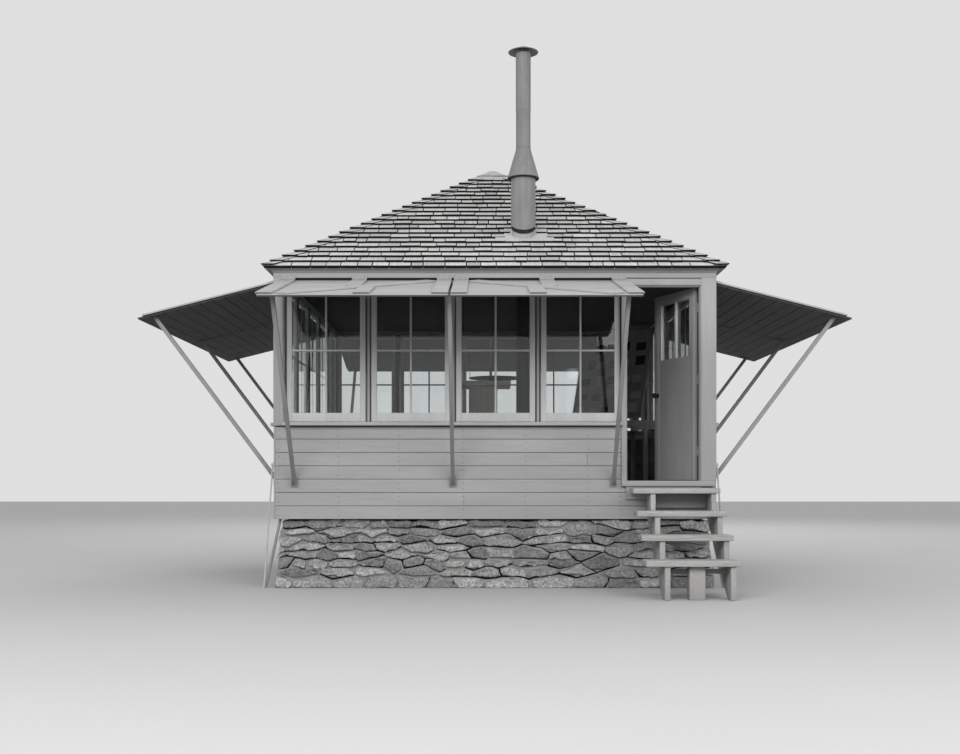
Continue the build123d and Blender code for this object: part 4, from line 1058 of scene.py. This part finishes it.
def make_door():
    """Stiles and rails round two lights, a panel below, beads at the glass and the cover strip."""
    left = -724.0
    right = -2.0
    low = door_sill_top + 5
    high = door_head - 5
    near = 8.0
    far = 48.0
    free_stile = 122.0
    hinge_stile = 88.0
    light_top = high - 98
    light_low = light_top - 567
    light_left = left + free_stile
    light_right = right - hinge_stile
    middle = (light_left + light_right) / 2
    members = [(left, light_left - 34, near, far, low, high), (light_right + 30, right, near, far, low, high),
               (light_left - 34, light_left, near + 0.6, far - 1.2, light_low, light_top),
               (light_right, light_right + 30, near + 0.6, far - 1.2, light_low, light_top),
               (light_left - 34, light_right + 30, near + 0.6, far - 1.2, light_top, high),
               (middle - 12, middle + 12, near + 3, far - 3, light_low, light_top)]
    leaf = boards("door_stiles", members, edge=2.5, steps=2)
    panel = boards("door_panel", [(light_left - 34, light_right + 30, near + 0.6, far - 3, low, light_low)],
                   edge=3)
    beads = []
    groove = (near + 10.5, near + 18)
    for start, end in ((light_left, middle - 12), (middle + 12, light_right)):
        beads += [(start, start + 5, *groove, light_low, light_top),
                  (end - 5, end, *groove, light_low, light_top),
                  (start + 5, end - 5, *groove, light_low, light_low + 5),
                  (start + 5, end - 5, *groove, light_top - 5, light_top)]
    door = joined("door_boards", [leaf, panel, boards("door_beads", beads)])
    for material in (door_paint, door_reveal_lit):
        door.data.materials.append(material)
    # Painted light: the faces of the light openings towards the hinge side take the lighter paint.
    for face in door.data.polygons:
        x = face.center.x * 1000
        lit = face.normal.x > 0.7 and light_left - 3 < x < middle + 20 and face.center.z * 1000 > light_low
        face.material_index = 1 if lit else 0
    door.data.transform(door_swing)
    hand_over(door, [door_paint, door_reveal_lit], "painted_door", "door_leaf", body="door")
    # Painted shade: a dark strip behind the hinge-side gap stands for the shade in it.
    strip = boards("door_cover_strip", [(2009.5, wall_inner - 1, 2004, 2012, door_sill_top, door_head)])
    hand_over(strip, recess_shade_paint, "painted_trim")


make_door()
for node, body, finish in (("door_knobs", "door", black_iron), ("door_hinges_leaf", "door", hinge_paint),
                           ("door_hinges_jamb", "cab", hinge_paint)):
    soften(node, finish, "dark_iron", width=0.5, steps=1, body=body)

# Stair
for number in range(1, 5):
    soften(f"step_{number}", plank_wood, "weathered_plank", width=5, steps=3)
soften("stair_frame", stringer_wood, "weathered_plank", width=4)

# Chimney
roof_at_flue = crown_top + (eave + flue_y) * tan(roof_angle) + deck_lift
jack_top = roof_at_flue + 243


def sheet_tube(name, radius, top, low_rise, thick, material, slot, node):
    """A thin tube whose lower edge follows the slope, a rise above its deck."""
    tube = lathe(name, [(radius, 3300), (radius, top)])
    cut_off(tube, mm(flue_x, flue_y, roof_at_flue + low_rise), (0, sin(roof_angle), -cos(roof_angle)))
    modified(tube, "SOLIDIFY", thickness=thick / 1000, offset=-1)
    hand_over(close(tube, smooth=40), material, slot, node)


sheet_tube("jack_tube", 114.8, jack_top, 0, 3, jack_metal, "galvanised_sheet", "chimney_roof_jack")
sheet_tube("packing_ring", 122.0, jack_top, 78, 7, tar_and_shade, "tarred_packing", "chimney_packing")
sheet_tube("sleeve_tube", 125.7, 4242, 120, 3, flue_metal, "galvanised_sheet", "chimney_sleeve")

# Flashing: an apron over the course below, tipped to it, and a plate under the courses above
apron_foot = 577
apron = begin("flashing_apron")
block((flue_x + 10, 640, 23), (598, 126, 2))
block((flue_x + 10, apron_foot, 19), (598, 3, 12))
ease(0.8)
close(apron)
apron.data.transform(slope_place(0, apron_foot, 0) @ Matrix.Rotation(-0.085, 4, "X")
                     @ Matrix.Translation(mm(0, -apron_foot, 0)))
plate = begin("flashing_plate")
block((flue_x + 25, 826, 8), (440, 262, 2))
ease(0.8)
close(plate)
plate.data.transform(slope_place(0, 0, 0))
for piece in (apron, plate):
    hand_over(piece, flashing_metal, "galvanised_sheet", "chimney_roof_jack")

cone_rings = [(156, 4157), (157, 4152), (160, 4150), (163, 4153), (163, 4158), (160, 4161),
              (120, 4296), (82, 4424), (78, 4436), (78, 4452), (75, 4452), (75, 4424), (156, 4157)]
hand_over(lathe("storm_collar", cone_rings), collar_metal, "galvanised_sheet", "chimney_storm_collar")
# Painted shade: a near-black ring under the collar's rolled rim stands for the shade there.
collar_shade_rings = [(126.5, 4142), (160, 4142), (160, 4150), (126.5, 4150), (126.5, 4142)]
hand_over(lathe("collar_rim_shade", collar_shade_rings), tar_and_shade, "tarred_packing")
flue_rings = [(72, 3044), (74.5, 3044), (74.5, 4470), (76, 4474), (74.5, 4478), (74.5, 4838),
              (76.5, 4842), (76.5, 4850), (76.5, 5426), (77.5, 5429), (76.5, 5432), (72, 5432), (72, 3044)]
hand_over(lathe("flue_pipe", flue_rings), flue_metal, "galvanised_sheet", "chimney_flue")
cap_rings = [(1, 5510), (60, 5486), (149, 5449), (153, 5446), (154, 5443), (152, 5441), (149, 5444),
             (60, 5481), (1, 5505)]
rain_cap = lathe("rain_cap_cone", cap_rings)
straps = begin("rain_cap_straps")
for step in range(4):
    swing = radians(45 + 90 * step)
    block((flue_x + 79 * cos(swing), flue_y + 79 * sin(swing), 5415), (3, 22, 90), swing)
ease(1)
close(straps)
for piece in (rain_cap, straps):
    hand_over(piece, collar_metal, "galvanised_sheet", "chimney_rain_cap")

soften("stove", black_iron, "dark_iron", width=6)
pipe_rings = [(70, 1540), (72.5, 1540), (72.5, 2400), (74, 2404), (72.5, 2408), (72.5, 3043), (70, 3043),
              (70, 1540)]
hand_over(lathe("stove_pipe_tube", pipe_rings), black_iron, "dark_iron", "stove_pipe")

# Inside: floor and ceiling boards, the fire finder, the table and the display board
deck_half = 2026.5
deck_rows = 40
pitch = 2 * deck_half / deck_rows
deck = [(-deck_half + row * pitch + 0.8, -deck_half + (row + 1) * pitch - 0.8, -2026, 2026, 992, floor_top)
        for row in range(deck_rows)]
hand_over(boards("floor_planks", deck, edge=1.5), floor_wood, "floor_boards", "floor_deck")
refinish("floor_frame", floor_wood)

ceiling_half = 2063
ceiling_rows = 32
pitch = 2 * ceiling_half / ceiling_rows
pipe_hole = 76
overhead = []
for row in range(ceiling_rows):
    near = -ceiling_half + row * pitch
    far = near + pitch
    spans = [(-ceiling_half, ceiling_half)]
    if near < -flue_y + pipe_hole and far > -flue_y - pipe_hole:
        spans = [(-ceiling_half, flue_x - pipe_hole), (flue_x + pipe_hole, ceiling_half)]
    for left, right in spans:
        overhead.append((left, right, near + 1.5, far - 1.5, 3044, 3063))
# The ceiling boards are painted darker for shade.
hand_over(boards("ceiling_planks", overhead, edge=3), ceiling_wood_shade, "ceiling_boards", "ceiling")
soften("fire_finder_stand", cabinet_wood, "varnished_cabinet", width=3)
soften("fire_finder_table", enamel, "finder_metal", width=1.5)

soften("corner_table", cabinet_wood, "varnished_cabinet", width=2.5)
soften("display_board", display_paint, "display_panel", width=2)


def pinned_sheets():
    """Plain cards and prints pinned to the display board, in its own plane."""
    chance = Random(5)
    lean = radians(13.2)
    half = sin(radians(45))
    across = Vector((-half, half, 0))
    up = Vector((sin(lean) * half, sin(lean) * half, cos(lean)))
    front = -across.cross(up)
    corner = Vector(mm(2063.7, 2063.7 - 1140 * half, 2988)) - up * 1.181
    spots = []
    for height in (70, 265, 470, 690, 900):
        x = 60 + chance.uniform(0, 40)
        while x < 960:
            width = chance.uniform(110, 165)
            rise = chance.uniform(85, 130)
            spots.append((x, height + chance.uniform(-15, 15), width, rise, chance.random() < 0.55))
            x += width + chance.uniform(45, 110)
    turned = Matrix((across, up, front)).transposed().to_4x4()
    for name, finish, printed in (("pinned_cards", paper, False), ("pinned_prints", print_dark, True)):
        cards = []
        for x, low, width, rise, dark in spots:
            if dark != printed:
                continue
            card = begin("card")
            block((0, 0, 0), (width, rise, 0.8))
            ease(0.3)
            close(card)
            middle = (corner + across * (x + width / 2) / 1000 + up * (low + rise / 2) / 1000
                      + front * 0.0128)
            card.data.transform(Matrix.Translation(middle) @ turned)
            cards.append(card)
        hand_over(joined(name, cards), finish, "display_panel")


pinned_sheets()

# Rods at the corners
soften("tie_rods", rod_metal, "galvanised_rod", width=1, steps=1, smooth=40)
soften("stay_pipes", pipe_metal, "galvanised_rod", width=1, steps=1, smooth=40)

# Floor, backdrop, light and camera

def shown_rays(tree):
    """1 for the rays that show the floor or the sky to the eye, straight, mirrored or through glass."""
    rays = tree.nodes.new("ShaderNodeLightPath")
    share = rays.outputs["Is Camera Ray"]
    for kind in ("Is Glossy Ray", "Is Transmission Ray"):
        either = tree.nodes.new("ShaderNodeMath")
        either.operation = "MAXIMUM"
        tree.links.new(share, either.inputs[0])
        tree.links.new(rays.outputs[kind], either.inputs[1])
        share = either.outputs[0]
    return share


bpy.ops.object.select_all(action="DESELECT")
bpy.ops.mesh.primitive_plane_add(size=90, location=(0, 0, -0.002))
ground = bpy.context.object
ground.name = "studio_floor"
ground_finish = Finish("studio_floor_paint", 0.9)
seen = shown_rays(ground_finish.tree)
tone = ground_finish.mixed(seen, (0.22, 0.22, 0.22), (0.55, 0.55, 0.55))
cloud = ground_finish.noise(0.6, low=0.99, high=1.01)
ground.data.materials.append(ground_finish.done(ground_finish.shaded(tone, cloud)))

world = bpy.data.worlds.new("studio")
bpy.context.scene.world = world
world.use_nodes = True
sky = world.node_tree
background = sky.nodes["Background"]
background.inputs["Color"].default_value = (1, 1, 1, 1)
background.inputs["Strength"].default_value = 0.62
shown = sky.nodes.new("ShaderNodeBackground")
shown.inputs["Color"].default_value = (0.74, 0.74, 0.74, 1)
blend = sky.nodes.new("ShaderNodeMixShader")
sky.links.new(shown_rays(sky), blend.inputs[0])
sky.links.new(background.outputs[0], blend.inputs[1])
sky.links.new(shown.outputs[0], blend.inputs[2])
sky.links.new(blend.outputs[0], sky.nodes["World Output"].inputs["Surface"])


def lamp(name, place, target, width, energy):
    """A soft box lamp that points at a target."""
    data = bpy.data.lights.new(name, "AREA")
    data.shape = "RECTANGLE"
    data.size = width
    data.size_y = width * 0.6
    data.energy = energy
    holder = bpy.data.objects.new(name, data)
    holder.location = place
    aim = Vector(target) - Vector(place)
    holder.rotation_euler = aim.to_track_quat("-Z", "Y").to_euler()
    holder.visible_glossy = False
    bpy.context.collection.objects.link(holder)


lamp("key_light", (-4.5, -14.0, 7.5), (0, -1, 2.0), 9.0, 850)
lamp("fill_light", (6.0, -13.0, 6.5), (0, -1, 2.0), 9.0, 560)
lamp("back_light", (2.0, 14.0, 11.0), (0, 1, 2.2), 8.0, 800)

eye = bpy.data.cameras.new("camera")
eye.sensor_width = 36.0
eye.lens = 44.25
eye.shift_x = -0.0021
eye.shift_y = 0.1076
eye.clip_end = 200
camera = bpy.data.objects.new("camera", eye)
camera.location = (-0.126, -13.720, 1.056)
camera.rotation_euler = (radians(90), 0, 0)
bpy.context.collection.objects.link(camera)
bpy.context.scene.camera = camera
bpy.context.scene.view_settings.view_transform = "Standard"
